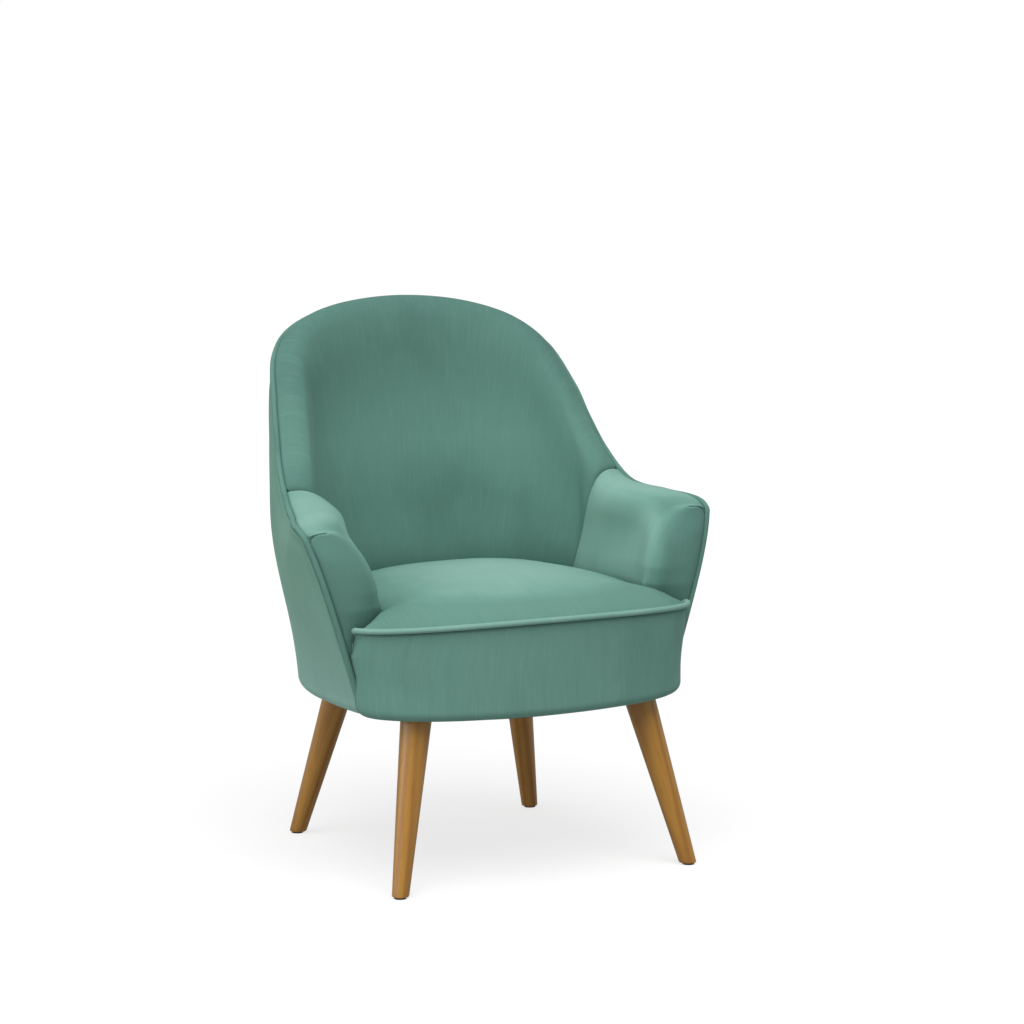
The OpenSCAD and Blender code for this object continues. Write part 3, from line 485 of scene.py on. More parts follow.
def noise(tree, vector, scale, detail, rough):
    inputs = {"Vector": vector, "Scale": scale, "Detail": detail, "Roughness": rough}
    return add(tree, "ShaderNodeTexNoise", inputs).outputs["Fac"]


def stretched(tree, vector, scale, detail, rough):  # noise that is drawn out along one axis
    place = add(tree, "ShaderNodeMapping", {"Vector": vector, "Scale": scale}).outputs["Vector"]
    return noise(tree, place, 1.0, detail, rough)


def remap(tree, value, low, high, newLow, newHigh):
    inputs = {"Value": value, "From Min": low, "From Max": high, "To Min": newLow, "To Max": newHigh}
    return add(tree, "ShaderNodeMapRange", inputs, clamp=True).outputs["Result"]


def blend(tree, factor, a, b):
    return add(tree, "ShaderNodeMix", {0: factor, 6: a, 7: b}, data_type="RGBA").outputs[2]


def srgb(*levels):  # the colour as it is seen, from 0 to 255, in linear light
    line = [c / 255 / 12.92 if c / 255 <= 0.04045 else ((c / 255 + 0.055) / 1.055) ** 2.4 for c in levels]
    return (*line, 1.0)


def pileWithPaintedLight():  # clouds where the nap lies another way, faint streaks and fine tufts, with painted light and shade, and painted shade at seams
    tree, given = group("pileWithPaintedLight", ["Vector", "Cloth"], ["Colour", "Lit", "Shaded"],
                        ["Seam", "Nap", "Cloud scale", "Streaks"])
    seamShadeColour = (0.012, 0.05, 0.042, 1)
    cloud = noise(tree, given["Vector"], given["Cloud scale"], 3, 0.55)
    rib = stretched(tree, given["Cloth"], (420, 16, 1), 3, 0.6)
    stroke = stretched(tree, given["Cloth"], (60, 9, 1), 2, 0.5)
    tuft = noise(tree, given["Vector"], 1500.0, 2, 0.6)
    lift = times(tree, remap(tree, cloud, 0.5, 0.72, 0, 1), 0.35)
    sink = times(tree, remap(tree, cloud, 0.5, 0.28, 0, 1), 0.35)
    # painted light and shade from the painted attribute, on top of the clouds
    tone = blend(tree, maths(tree, "ADD", lift, given["Nap"], True), given["Colour"], given["Lit"])
    tone = blend(tree, maths(tree, "SUBTRACT", sink, given["Nap"], True), tone, given["Shaded"])
    light = times(tree, remap(tree, rib, 0.5, 0.75, 0, 1), given["Streaks"])
    dark = times(tree, remap(tree, stroke, 0.48, 0.2, 0, 1), given["Streaks"])
    tone = blend(tree, dark, blend(tree, light, tone, given["Lit"]), given["Shaded"])
    tone = blend(tree, remap(tree, tuft, 0.35, 0.75, 0, 0.16), tone, given["Lit"])
    # painted shade along seams
    deep = times(tree, maths(tree, "POWER", given["Seam"], 1.6), 0.75)
    tone = blend(tree, deep, tone, seamShadeColour)
    rough = maths(tree, "ADD", remap(tree, cloud, 0.3, 0.7, 0.80, 0.9), times(tree, tuft, 0.08))
    height = maths(tree, "ADD", times(tree, tuft, 0.35), times(tree, rib, 0.35))
    return deliver(tree, tone, rough, maths(tree, "ADD", height, times(tree, stroke, 0.5)))


def longGrain():  # along the third axis, with rings across it and pores
    tree, given = group("longGrain", ["Vector"], ["Light", "Dark"])
    place, poreColour = given["Vector"], (0.09, 0.035, 0.008, 1)
    along = add(tree, "ShaderNodeMapping", {"Vector": place, "Scale": (1, 1, 0.06)}).outputs["Vector"]
    wave = add(tree, "ShaderNodeTexWave", {
        "Vector": along, "Scale": 26.0, "Distortion": 3.2, "Detail": 2.0, "Detail Scale": 1.2,
        "Detail Roughness": 0.6}, wave_type="BANDS", bands_direction="X").outputs["Fac"]
    fibre = stretched(tree, place, (420, 420, 9), 4, 0.6)
    pore = remap(tree, stretched(tree, place, (900, 900, 28), 2, 0.5), 0.62, 0.72, 0, 1)
    patch = stretched(tree, place, (22, 22, 5), 2, 0.5)
    wood = blend(tree, remap(tree, wave, 0.25, 0.95, 0, 0.6), given["Light"], given["Dark"])
    wood = blend(tree, remap(tree, fibre, 0.5, 0.8, 0, 0.55), wood, given["Dark"])
    wood = blend(tree, remap(tree, patch, 0.45, 0.75, 0, 0.4), wood, given["Light"])
    wood = blend(tree, times(tree, pore, 0.35), wood, poreColour)
    height = maths(tree, "SUBTRACT", times(tree, fibre, 0.5), pore)
    return deliver(tree, wood, remap(tree, fibre, 0.3, 0.7, 0.3, 0.42), height)


def plainWeave():  # crossing threads
    tree, given = group("plainWeave", ["Vector"], ["Colour", "Hollow"], ["Threads"])
    threads = {"Vector": given["Vector"], "Scale": given["Threads"], "Distortion": 0.4}
    bands = [add(tree, "ShaderNodeTexWave", threads, wave_type="BANDS", bands_direction=axis).outputs["Fac"]
             for axis in ("X", "Y")]
    weave = maths(tree, "MAXIMUM", *bands)
    slub = remap(tree, noise(tree, given["Vector"], 60.0, 3, 0.6), 0.2, 0.8, 0.75, 1)
    colour = blend(tree, times(tree, weave, slub), given["Hollow"], given["Colour"])
    return deliver(tree, colour, remap(tree, weave, 0, 1, 0.95, 0.8), weave)


def handledSurface():  # rubbed or brushed hard surfaces, and open cells in foam
    tree, given = group("handledSurface", ["Vector"], ["Colour", "Mark"],
                        ["Scale", "Rough low", "Rough high"])
    fleck = noise(tree, given["Vector"], given["Scale"], 4, 0.65)
    smear = noise(tree, given["Vector"], 14.0, 3, 0.6)
    marks = times(tree, remap(tree, fleck, 0.45, 0.75, 0, 1), remap(tree, smear, 0.35, 0.7, 0.2, 0.9))
    span = maths(tree, "SUBTRACT", given["Rough high"], given["Rough low"])
    rough = maths(tree, "ADD", given["Rough low"], times(tree, smear, span))
    return deliver(tree, blend(tree, marks, given["Colour"], given["Mark"]), rough, fleck)


def material(name, tree, values, vector=None, bump=0.2, distance=0.0005, cloth=None, constants=None):
    mat = bpy.data.materials.new(name)
    mat.use_nodes = True
    nt = mat.node_tree
    if vector:
        where = add(nt, "ShaderNodeAttribute", attribute_name=vector).outputs["Vector"]
    else:
        where = add(nt, "ShaderNodeTexCoord").outputs["Object"]
    effect = add(nt, "ShaderNodeGroup", {"Vector": where, **values}, node_tree=tree)
    if tree == pileTree:
        lying = add(nt, "ShaderNodeUVMap", uv_map=cloth).outputs["UV"] if cloth else where
        feed(nt, effect.inputs["Cloth"], lying)
        # these attributes carry painted shade along seams and painted light and shade over the pieces
        for label, layer in (("Seam", "seam"), ("Nap", "nap")):
            painted = add(nt, "ShaderNodeAttribute", attribute_name=layer).outputs["Fac"]
            feed(nt, effect.inputs[label], painted)
    height = effect.outputs["Height"]
    relief = add(nt, "ShaderNodeBump", {"Strength": bump, "Distance": distance, "Height": height})
    finish = {"Base Color": effect.outputs["Colour"], "Roughness": effect.outputs["Roughness"],
              "Normal": relief.outputs["Normal"], **(constants or {})}
    for label, value in finish.items():
        feed(nt, nt.nodes["Principled BSDF"].inputs[label], value)
    return mat


pileTree, grainTree, weaveTree, surfaceTree = pileWithPaintedLight(), longGrain(), plainWeave(), handledSurface()
velvet = {
    "colour": srgb(114, 160, 146), "wallColour": srgb(117, 161, 143), "lifted": srgb(144, 184, 173),
    "shaded": srgb(84, 124, 114), "cloudScale": 5.0, "cordCloudScale": 14.0, "bump": 0.35, "relief": 0.0006,
    "sheen": 0.12, "sheenRough": 0.35, "tint": (0.75, 1.0, 0.93, 1), "specular": 0.08,
}


def velvetMaterial(name, streaks, cloth="cloth", scale=velvet["cloudScale"], colour=velvet["colour"]):
    values = {"Colour": colour, "Lit": velvet["lifted"], "Shaded": velvet["shaded"],
              "Cloud scale": scale, "Streaks": streaks}
    constants = {"Sheen Weight": velvet["sheen"], "Sheen Roughness": velvet["sheenRough"],
                 "Sheen Tint": velvet["tint"], "Specular IOR Level": velvet["specular"]}
    return material(name, pileTree, values, None, velvet["bump"], velvet["relief"], cloth, constants)


def wooden(name, light, dark, **more):
    return material(name, grainTree, {"Light": srgb(*light), "Dark": srgb(*dark)}, **more)


def woven(name, colour, hollow, threads, bump):
    values = {"Colour": srgb(*colour), "Hollow": srgb(*hollow), "Threads": threads}
    return material(name, weaveTree, values, bump=bump)


def worn(name, colour, mark, scale, low, high, **more):
    values = {"Colour": srgb(*colour), "Mark": srgb(*mark), "Scale": scale,
              "Rough low": low, "Rough high": high}
    return material(name, surfaceTree, values, **more)


velvetWall = velvetMaterial("velvetWall", 0.14, colour=velvet["wallColour"])
velvetBack = velvetMaterial("velvetInsideBack", 0.15)
velvetPad = velvetMaterial("velvetPads", 0.12)
velvetFront = velvetMaterial("velvetFrontBand", 0.20)
velvetCord = velvetMaterial("velvetPiping", 0.0, None, velvet["cordCloudScale"])
legWood = wooden("varnishedLegs", (178, 127, 46), (140, 88, 22), vector="grain", bump=0.12, distance=0.0003,
                 constants={"Coat Weight": 0.35, "Coat Roughness": 0.18})
ofSlot = {
    "frame_wood": wooden("frameBeech", (214, 184, 138), (186, 148, 100)),
    "glide": worn("glidePlastic", (40, 40, 42), (66, 66, 68), 420.0, 0.4, 0.7),
    "steel": worn("zincSteel", (176, 178, 182), (120, 120, 124), 260.0, 0.25, 0.5,
                  constants={"Metallic": 1.0}),
    "hessian": woven("hessianCloth", (186, 158, 112), (84, 66, 40), 260.0, 0.6),
    "webbing": woven("webbingStrap", (58, 58, 60), (20, 20, 22), 420.0, 0.6),
    "foam": worn("cutFoam", (236, 226, 196), (206, 190, 150), 700.0, 0.85, 0.98, bump=0.6),
    "dust_cloth": woven("dustCloth", (36, 36, 38), (14, 14, 15), 900.0, 0.4),
    "leg_wood": legWood, "velvet": velvetPad, "velvet_piping": velvetCord,
}
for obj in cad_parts.values():
    slot = obj.data.materials[0].name.split(".")[0]
    obj.data.materials.clear()
    obj.data.materials.append(ofSlot[slot])
print("materials made:", len(bpy.data.materials))


def finishPiece(obj, mat, slot, *nodes):
    obj.data.materials.clear()
    obj.data.materials.append(mat)
    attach(obj, "root")
    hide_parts(*nodes)
    print("piece", obj.name, len(obj.data.polygons), "faces")


# Outside cover: one cloth around the arms and the back, its edges turned in beside the piping
wall = {
    "columns": 260, "rows": 46, "edgeTurns": 8, "lip": 0.005, "thickness": 0.0026, "touch": 0.0041,
    "tuck": 0.0036, "girth": 1.75, "pull": 0.0014, "pullAt": 0.013, "pullWidth": 0.008, "lumps": 0.0009,
    "lumpScale": 7.0, "paintedLightAt": (0.27, 0.36, 0.5, 0.7), "nap": (0.8, 0.45, -0.2, -0.3),
}
nearCord = np.array([0, 0.3, 0.8, 1.5, 2.4, 3.6, 5.5, 8.0]) / 1000


def tuckDepth(away, radius):  # how far a cloth edge has turned in at a distance from its piping
    f = np.clip(1 - np.asarray(away) / radius, 0, 1)
    return radius * (1 - np.sqrt(1 - f * f))


def wallColumns(v):  # shares of the run, close together at both ends
    share = step / np.linalg.norm(wallPoint(step, v) - wallPoint(0.0, v))
    ends = (wall["touch"] + nearCord) * share
    middle = np.linspace(ends[-1], 1 - ends[-1], wall["columns"] + 1)
    return np.concatenate([ends[:-1], middle, 1 - ends[-2::-1]])


def lowerEdge(a, turn, depth):
    a, turn, depth = np.broadcast_arrays(np.asarray(a, float), np.asarray(turn, float), depth)
    r = shell["baseEdge"] - depth
    p = tub(a, wallZ, shell["baseEdge"]) + outward(a) * (r * np.cos(turn))[..., None]
    p[..., 2] -= r * np.sin(turn)
    return p


def wallGrid(depth):
    k = np.linspace(0, 1, wall["columns"] + 1)
    middle = nearCord[-1] + wall["girth"] * np.minimum(k, 1 - k)
    away = np.concatenate([nearCord[:-1], middle, nearCord[-2::-1]])
    low = wallColumns(0.0)
    inset = depth + tuckDepth(away, wall["tuck"])
    grid = [atZ(tub(low, wallZ, shell["baseEdge"] + wall["lip"]), shell["baseHeight"] + depth)]
    grid += [lowerEdge(low, np.pi / 2 * (1 - t), inset) for t in np.linspace(0, 1, wall["edgeTurns"] + 1)]
    heights = np.linspace(0, 1, wall["rows"] + 1)[1:]
    levels = [(v, nearCord[-1]) for v in heights] + [(1.0, n) for n in nearCord[-2::-1]]
    for v, below in levels:
        a = wallColumns(v)
        top = rim(a)[..., 2] - wall["touch"]
        z = mix(wallZ, top - below, v)
        edge = np.minimum(away, top - z)
        pull = wall["pull"] * bell(edge - wall["pullAt"], wall["pullWidth"]) * np.clip(v * 3, 0, 1)
        grid.append(tub(a, z, depth + tuckDepth(edge, wall["tuck"]) + pull))
    return np.stack(grid, axis=1)


def cordAlong(count):  # centre line of the piping around the rim
    a = np.linspace(0, 1, count)
    return tub(a, rim(a)[..., 2], cordR)


def lengths(line):  # the way along a line to each of its points
    return np.concatenate([[0], np.cumsum(np.linalg.norm(np.diff(line, axis=0), axis=-1))])


def pairs(across, down):
    return np.stack(np.broadcast_arrays(across, down), axis=-1)


measuredRow = 20  # of the wall and of the band, for the way that the cloth goes round
face = wallGrid(0.0)
alongWall = lengths(face[:, measuredRow])
outside = closedGrid("outside_cover_cloth", face, wallGrid(wall["thickness"]),
                     pairs(alongWall[:, None], face[..., 2]))
frontLine = np.concatenate([tub(np.zeros(200), np.linspace(wallZ, shell["armHeight"], 200), cordR),
                            lowerEdge(np.zeros(20), np.linspace(0, np.pi / 2, 20), cordR)])
cordLine = np.concatenate([cordAlong(1400), frontLine, frontLine * [-1, 1, 1]])
away = distanceTo(outside, cordLine)
soften(outside, wall["lumpScale"], wall["lumps"], 2.1, np.clip((away - 0.02) / 0.05, 0, 1))
# painted shade along the piping
seamShade(outside, (cordLine, 0.0075, 1.0), (cordLine, 0.022, 0.30))
flat = face[:, 1:]
corner = flat[:-1, :-1]
areaOf = np.linalg.norm(np.cross(flat[1:, :-1] - corner, flat[:-1, 1:] - corner), axis=-1).sum()
print("outside cloth: %.3f m2, %.3f m around" % (areaOf, alongWall[-1]))
# painted light towards the bottom of the outside cover, painted shade towards its top
paintLightAndShade(outside, np.interp(coords(outside.data)[:, 2], wall["paintedLightAt"], wall["nap"]))
finishPiece(outside, velvetWall, "velvet", "outside_cover")

# Inside back: a stuffed pad from seam to seam
backPad = {
    "columns": 150, "topRows": 34, "faceRows": 40, "tuckRows": 5, "fill": 0.8, "smaller": 0.0006,
    "pressure": 3.0, "cap": 0.005, "held": (0.8, 2.0), "smoothing": 60, "bendWidth": 0.35,
    "lumps": 0.0016, "lumpScale": 6.0, "paintedShadeOnTop": 0.35,
    "paintedShadeAt": (0.42, 0.52, 0.62, 0.72, 0.80), "paintedShade": (0.75, 0.6, 0.35, 0.55, 0.62),
}


def rowsOf(sizes):  # from 0 at the piping over the roll to 2, down the face to 3 and under the seat to 4
    return np.concatenate([
        np.linspace(0.0, 2, sizes["topRows"] + 1), np.linspace(2, 3, sizes["faceRows"] + 1)[1:],
        np.linspace(3, 4, sizes["tuckRows"] + 1)[1:]])


def looseOf(cols, n, w, held=(0.0, 0.35)):  # held at the piping, along both ends, under the seat and behind
    col = np.arange(cols)[:, None] / (cols - 1)
    over = (w[None, :] - held[0]) / (held[1] - held[0])
    free = np.clip(np.minimum(over, (3.0 - w[None, :]) / 0.35), 0, 1)
    free = free * np.clip(np.minimum(col, 1 - col) / 0.06, 0, 1)
    return np.concatenate([free.ravel(), np.zeros(n)])


w = rowsOf(backPad)
gapShare = shell["seamAt"] - float(runAt(armRun - shell["gap"]))
a = mix(shell["seamAt"] + gapShare, 1 - shell["seamAt"] - gapShare, np.linspace(0, 1, backPad["columns"] + 1))
start = shell["cord"] - shell["gap"]
face = padPoint(a[:, None], w[None, :], start, backPad["smaller"])
behindRows = 9  # how many steps the rear of a pad goes down below its piping
rear = padRear(np.broadcast_to(a[:, None], face.shape[:2]), face[..., 2],
               np.linspace(0, behindRows, len(w))[None, :])
across = np.cumsum(np.linalg.norm(np.diff(face, axis=0, prepend=face[:1]), axis=-1), axis=0).mean(axis=1)
down = np.cumsum(np.linalg.norm(np.diff(face, axis=1, prepend=face[:, :1]), axis=-1), axis=1)
back = closedGrid("inside_back_pad", face, rear, pairs(across[:, None], down))
loose = looseOf(len(a), face.shape[0] * face.shape[1], w, backPad["held"])
bend = np.concatenate([np.tile(bell(w - 2, backPad["bendWidth"]), len(a)), np.zeros(len(a) * len(w))])
relax(back, bend * (loose > 0), backPad["smoothing"])
settle(back, loose, backPad["pressure"], backPad["cap"])
subdivide(back)
endSeam = padPoint(np.full(300, a[0]), np.linspace(0, 4, 300), start)
endSeams = np.concatenate([endSeam, endSeam * [-1, 1, 1]])
seatLine = padPoint(np.linspace(a[0], a[-1], 500), np.full(500, 3.0), start)
seams = np.concatenate([cordLine, endSeams, seatLine])
away = distanceTo(back, seams)
soften(back, backPad["lumpScale"], backPad["lumps"], 1.3, np.clip((away - 0.012) / 0.05, 0, 1))
# painted shade along the piping, the end seams and where the seat meets the back
seamShade(back, (cordLine, 0.010, 0.9), (endSeams, 0.006, 0.9), (endSeams, 0.03, 0.3),
          (seatLine, 0.05, 0.6))
# painted shade: darker over the top of the roll and lower down towards the seat
paintedShade = np.interp(coords(back.data)[:, 2], backPad["paintedShadeAt"], backPad["paintedShade"])
paintLightAndShade(back, -backPad["paintedShadeOnTop"] * ease(normals(back.data)[:, 2] / 0.9) - paintedShade)
finishPiece(back, velvetBack, "velvet", "inside_back_cover", "back_foam")

# Arm pads, with a short dart seam over each arm front
armPad = {
    "sideColumns": 36, "cornerColumns": 30, "frontColumns": 34, "topRows": 38, "faceRows": 26, "tuckRows": 5,
    "fill": 0.85, "smaller": 0.0012, "pressure": 3.0, "cap": 0.005, "smoothing": 160, "cornerAt": 0.575,
    "cornerWidth": 0.2, "cheek": 0.007, "cheekAt": 2.4, "cheekHeight": 0.6, "lumps": 0.0012, "lumpScale": 9.0,
    "stands": 0.5, "inside": 0.5, "paintedShade": 0.75, "clothLength": 0.36, "seatFrom": 0.69,
    "dartDepth": 0.0021, "dartWidth": 0.0019, "dartSwell": 0.0012, "dartReach": 0.016,
}
dartShares = np.array([[1.0, 0.70], [0.915, 0.53], [0.812, 0.63], [0.755, 0.78], [0.682, 1.0]])
w = rowsOf(armPad)
u = np.concatenate([
    np.linspace(0, armWay["cornerFrom"], armPad["sideColumns"] + 1),
    np.linspace(armWay["cornerFrom"], armWay["frontFrom"], armPad["cornerColumns"] + 1)[1:],
    np.linspace(armWay["frontFrom"], 1, armPad["frontColumns"] + 1)[1:]])
face, along = armPoint(u[:, None], w[None, :], start, armPad["smaller"])
rear = padRear(runAt(np.maximum(along, shell["cord"])), face[..., 2],
               np.linspace(0, behindRows, len(w))[None, :])
uvArm = pairs(np.linspace(0, armPad["clothLength"], len(u))[:, None], face[..., 2])
dartMarks = fineCurve(dartShares, 120)
dart = armPoint(dartMarks[:, 0], dartMarks[:, 1], start, armPad["smaller"])[0]
armSeam = armPoint(np.zeros(200), np.linspace(0, 4, 200), start)[0]
armSeatLine = armPoint(np.linspace(0, armPad["seatFrom"], 200), np.full(200, 3.0), start)[0]
rearZeros = np.zeros(len(u) * len(w))
loose = looseOf(len(u), len(rearZeros), w)
corner = bell(u - armPad["cornerAt"], armPad["cornerWidth"])
cheek = corner[:, None] * bell(w[None, :] - armPad["cheekAt"], armPad["cheekHeight"])
for side, name in ((1, "right"), (-1, "left")):
    turn = [side, 1, 1]
    arm = closedGrid("arm_pad_" + name, face * turn, rear * turn, uvArm)
    relax(arm, loose * np.concatenate([np.repeat(corner, len(w)), rearZeros]), armPad["smoothing"])
    settle(arm, loose, armPad["pressure"], armPad["cap"])
    push(arm, armPad["cheek"] * loose * np.concatenate([cheek.ravel(), rearZeros]))
    subdivide(arm)
    away = distanceTo(arm, np.concatenate([cordLine, armSeam * turn, armSeatLine * turn]))
    soften(arm, armPad["lumpScale"], armPad["lumps"], 4.0 + side, np.clip((away - 0.01) / 0.03, 0, 1))
    onArm = np.array([arm.closest_point_on_mesh(Vector(p))[1] for p in dart * turn])
    near = distanceTo(arm, onArm)
    co = coords(arm.data)
    lower = co[:, 2] < np.interp(co[:, 0] * side, onArm[::-1, 0] * side, onArm[::-1, 2])
    push(arm, armPad["dartSwell"] * bell(near, armPad["dartReach"]) * lower
         - armPad["dartDepth"] * bell(near, armPad["dartWidth"]))
    # painted shade along the piping, the end seam, where the seat meets the arm and in the dart
    seamShade(arm, (cordLine, 0.010, 0.9), (cordLine, 0.030, 0.3), (armSeam * turn, 0.006, 0.9),
              (armSeatLine * turn, 0.035, 0.6), (onArm, 0.0032, 1.0))
    # painted light on the arm tops and inner sides, painted shade on the front facings
    facing = normals(arm.data)
    lifted = np.maximum(armPad["stands"] * ease((facing[:, 2] - 0.55) / 0.45),
                        armPad["inside"] * ease((-side * facing[:, 0] - 0.25) / 0.5))
    paintLightAndShade(arm, lifted - armPad["paintedShade"] * ease((-facing[:, 1] - 0.1) / 0.6))
    finishPiece(arm, velvetPad, "velvet", "arm_cover_" + name, "arm_foam_" + name)

# Seat: a crowned pad with ears that pass before the arm fronts
seatPad = {
    "turns": 30, "halves": 24, "voxel": 0.005, "fill": 0.85, "pressure": 3.5, "cap": 0.006, "trim": 0.0006,
    "lower": 0.0040, "crownAt": 0.6, "crownPower": 2.6, "sidePower": 2.4, "smoothing": 14, "groove": 0.0032,
    "grooveReach": 0.006, "earLift": 0.007, "earReach": 0.022, "lumps": 0.0016, "lumpScale": 7.0,
    "paintedLightAt": (0.395, 0.425, 0.438, 0.452), "nap": (-0.55, -0.45, 0.1, 0.8),
}
earY = frontY - shell["facingSwell"] - 2 * shell["gap"]
seatHalf = shell["seatWidth"] / 2
bowEnd = math.acos((frontY - earY) / shell["seatBow"])
crownY = frontY + shell["seatBow"] * seatPad["crownAt"]


def pipingZ(x):
    return shell["seatPiping"] - shell["seatPipingDrop"] * (x / seatHalf) ** 2


beside = shell["cord"] + shell["gap"]
armEdge = armPoint(np.linspace(armPad["seatFrom"], 0, 40), np.full(40, 3.0), beside)[0]
backEdge = padPoint(np.linspace(shell["seamAt"] + 0.01, 0.484, 46), np.full(46, 3.0), beside)
inner = np.concatenate([armEdge, backEdge])
seatRearY = inner[-1, 1]


def middleZ(y):
    ahead = (np.clip(crownY - y, 0, 1) / (crownY - seatFrontY)) ** seatPad["crownPower"]
    after = (np.clip(y - crownY, 0, 1) / (seatRearY - crownY)) ** seatPad["crownPower"]
    front = mix(shell["seatCrown"], shell["seatPiping"], ahead)
    behind = mix(shell["seatCrown"], shell["seatEdge"], after)
    return np.where(y < crownY, front, behind)


def seatGrid(trim, lower):
    rows = []
    for t in np.linspace(math.radians(4), bowEnd, seatPad["turns"] + 1):
        inset = trim + cordR + shell["gap"]
        x = (seatHalf - inset) * math.sin(t)
        y = min(frontY - (shell["seatBow"] - inset) * math.cos(t), earY - trim)
        lift = seatPad["earLift"] * float(ease(1 - (earY - y) / seatPad["earReach"]))
        rows.append([x, y, pipingZ(x) + lift])
    rows += [[max(p[0] - trim - 2 * shell["gap"], trim), p[1] - trim / 2, shell["seatEdge"]] for p in inner]
    rows = np.array(rows)
    s = np.sin(np.pi / 2 * np.linspace(-1, 1, 2 * seatPad["halves"] + 1))
    x = rows[:, :1] * s
    y = np.broadcast_to(rows[:, 1:2], x.shape)
    z = mix(middleZ(y), rows[:, 2:3], np.abs(s) ** seatPad["sidePower"]) - lower
    return points(x, y, z)


def besidePiping(z):
    v = (np.asarray(z, float) - wallZ) / (shell["armHeight"] - wallZ)
    return wallPoint(np.zeros_like(v), v)[..., 0] - shell["cord"] - shell["gap"]


top = seatGrid(seatPad["trim"], seatPad["lower"])
taper = float((besidePiping(foamZ) - shell["cloth"] - 2 * shell["gap"])
              / (seatHalf - shell["cloth"] - shell["gap"]))
seat = closedGrid("seat_pad", top, atZ(top * [taper, 1, 1], foamZ))
remesh = seat.modifiers.new("even", "REMESH")
remesh.mode, remesh.voxel_size = "VOXEL", seatPad["voxel"]
applyModifiers(seat)
outline = seatGrid(0, 0)[:, -1]
outline = np.concatenate([outline, outline * [-1, 1, 1]])
near = distanceTo(seat, outline)
upper = normals(seat.data)[:, 2] > 0.3
relax(seat, np.clip((near - 0.004) / 0.012, 0, 1) * upper, seatPad["smoothing"])
settle(seat, np.clip(near / 0.03, 0, 1) * upper, seatPad["pressure"], seatPad["cap"])
subdivide(seat)
near = distanceTo(seat, outline)
co = coords(seat.data)
upper = np.clip((normals(seat.data)[:, 2] - 0.1) / 0.3, 0, 1)
co[:, 2] -= seatPad["groove"] * np.exp(-near / seatPad["grooveReach"]) * upper
setCoords(seat.data, co)
soften(seat, seatPad["lumpScale"], seatPad["lumps"], 5.5, np.clip((near - 0.012) / 0.04, 0, 1) * upper)
frontEdge = outline[outline[:, 1] < earY + 0.001]
rearEdge = outline[outline[:, 1] > earY + 0.001]
# painted shade along the front piping and where the arms and the back meet the seat
seamShade(seat, (frontEdge, 0.007, 1.0), (rearEdge, 0.012, 0.9), (rearEdge, 0.04, 0.4))
layCloth(seat, coords(seat.data)[:, :2])
# painted light on the seat's crown, painted shade lower down towards its edges
paintLightAndShade(seat, np.interp(coords(seat.data)[:, 2], seatPad["paintedLightAt"], seatPad["nap"]))
finishPiece(seat, velvetPad, "velvet", "seat_cover", "seat_foam")

# Front band below the seat piping, back to the shell piping and under the front rail
band = {
    "columns": 240, "edgeTurns": 8, "rows": 40, "lip": 0.004, "thickness": 0.003, "under": 0.0035,
    "tuck": 0.0028, "edgeShare": 0.7, "meetZ": 0.336, "flareFrom": 0.290, "flarePower": 14,
    "endDepth": 0.012, "overlap": 0.0012, "creaseDepth": 0.0022, "creaseWidth": 0.0042,
    "lumps": 0.0012, "lumpScale": 7.0, "paintedShade": 0.30, "fill": 0.9,
    "lastRows": (3.0, 2.0, 1.2, 0.6, 0.2, 0), "rowUnit": 130,
}
bandEdge = shell["baseEdge"] * band["edgeShare"]
pipingLow = shell["seatPiping"] - shell["seatPipingDrop"]
bandWallZ = shell["baseHeight"] + bandEdge
bandEnd = math.acos((frontY - earY + shell["gap"]) / (shell["seatBow"] - shell["cloth"]))
bandFill = bandEdge - shell["gap"]


def bandHalf(z, share):  # wider towards the seat piping, and out to the shell piping at both ends
    low, high = shell["bandWidth"] / 2, seatHalf - cordR / 2
    middle = mix(low, high, ease((z - band["flareFrom"]) / (pipingLow - band["flareFrom"])))
    return mix(middle, np.clip(besidePiping(z), low, high), np.abs(share) ** band["flarePower"])


def bandPoint(share, z, depth, back=0.0):  # the band's ends run from the seat piping back to the shell piping
    share, z, depth = np.broadcast_arrays(share, np.asarray(z, float), depth)
    rise = np.clip((z - band["meetZ"]) / (pipingLow - band["meetZ"]), 0, 1)
    reach = mix(-band["overlap"], frontY - earY - band["overlap"] - back, rise)
    t = share * np.arccos(reach / (shell["seatBow"] - shell["cloth"]))
    bow = shell["seatBow"] - cordR / 2 - depth
    return points((bandHalf(z, share) - depth) * np.sin(t), frontY - bow * np.cos(t), z)


def bandGrid(depth, fill):  # its lower edge is as round as the wall's at both ends
    share = np.sin(np.pi / 2 * np.linspace(-1, 1, band["columns"] + 1))
    edge = mix(bandEdge, shell["baseEdge"], np.abs(share) ** band["flarePower"])
    edgeZ = shell["baseHeight"] + edge
    grid = [atZ(bandPoint(share, edgeZ, edge + band["lip"]), shell["baseHeight"] + depth)]
    for turn in np.pi / 2 * (1 - np.linspace(0, 1, band["edgeTurns"] + 1)):
        r = edge - depth
        p = bandPoint(share, edgeZ, edge - r * math.cos(turn))
        p[..., 2] -= r * math.sin(turn)
        grid.append(p)
    top = pipingZ(seatHalf * np.sin(bandEnd * share)) - band["under"]
    evenRows = np.linspace(0, 1, band["rows"] + 1)[1:-1]
    for v in np.concatenate([evenRows, 1 - np.array(band["lastRows"]) / band["rowUnit"]]):
        z = mix(edgeZ, top, v)
        if fill:
            inside = mix(fill, depth, ease((z - deckZ) / (foamZ - deckZ)))
        else:
            inside = depth + tuckDepth(top - z, band["tuck"])
        grid.append(bandPoint(share, z, inside, band["endDepth"] if fill else 0.0))
    return np.stack(grid, axis=1)


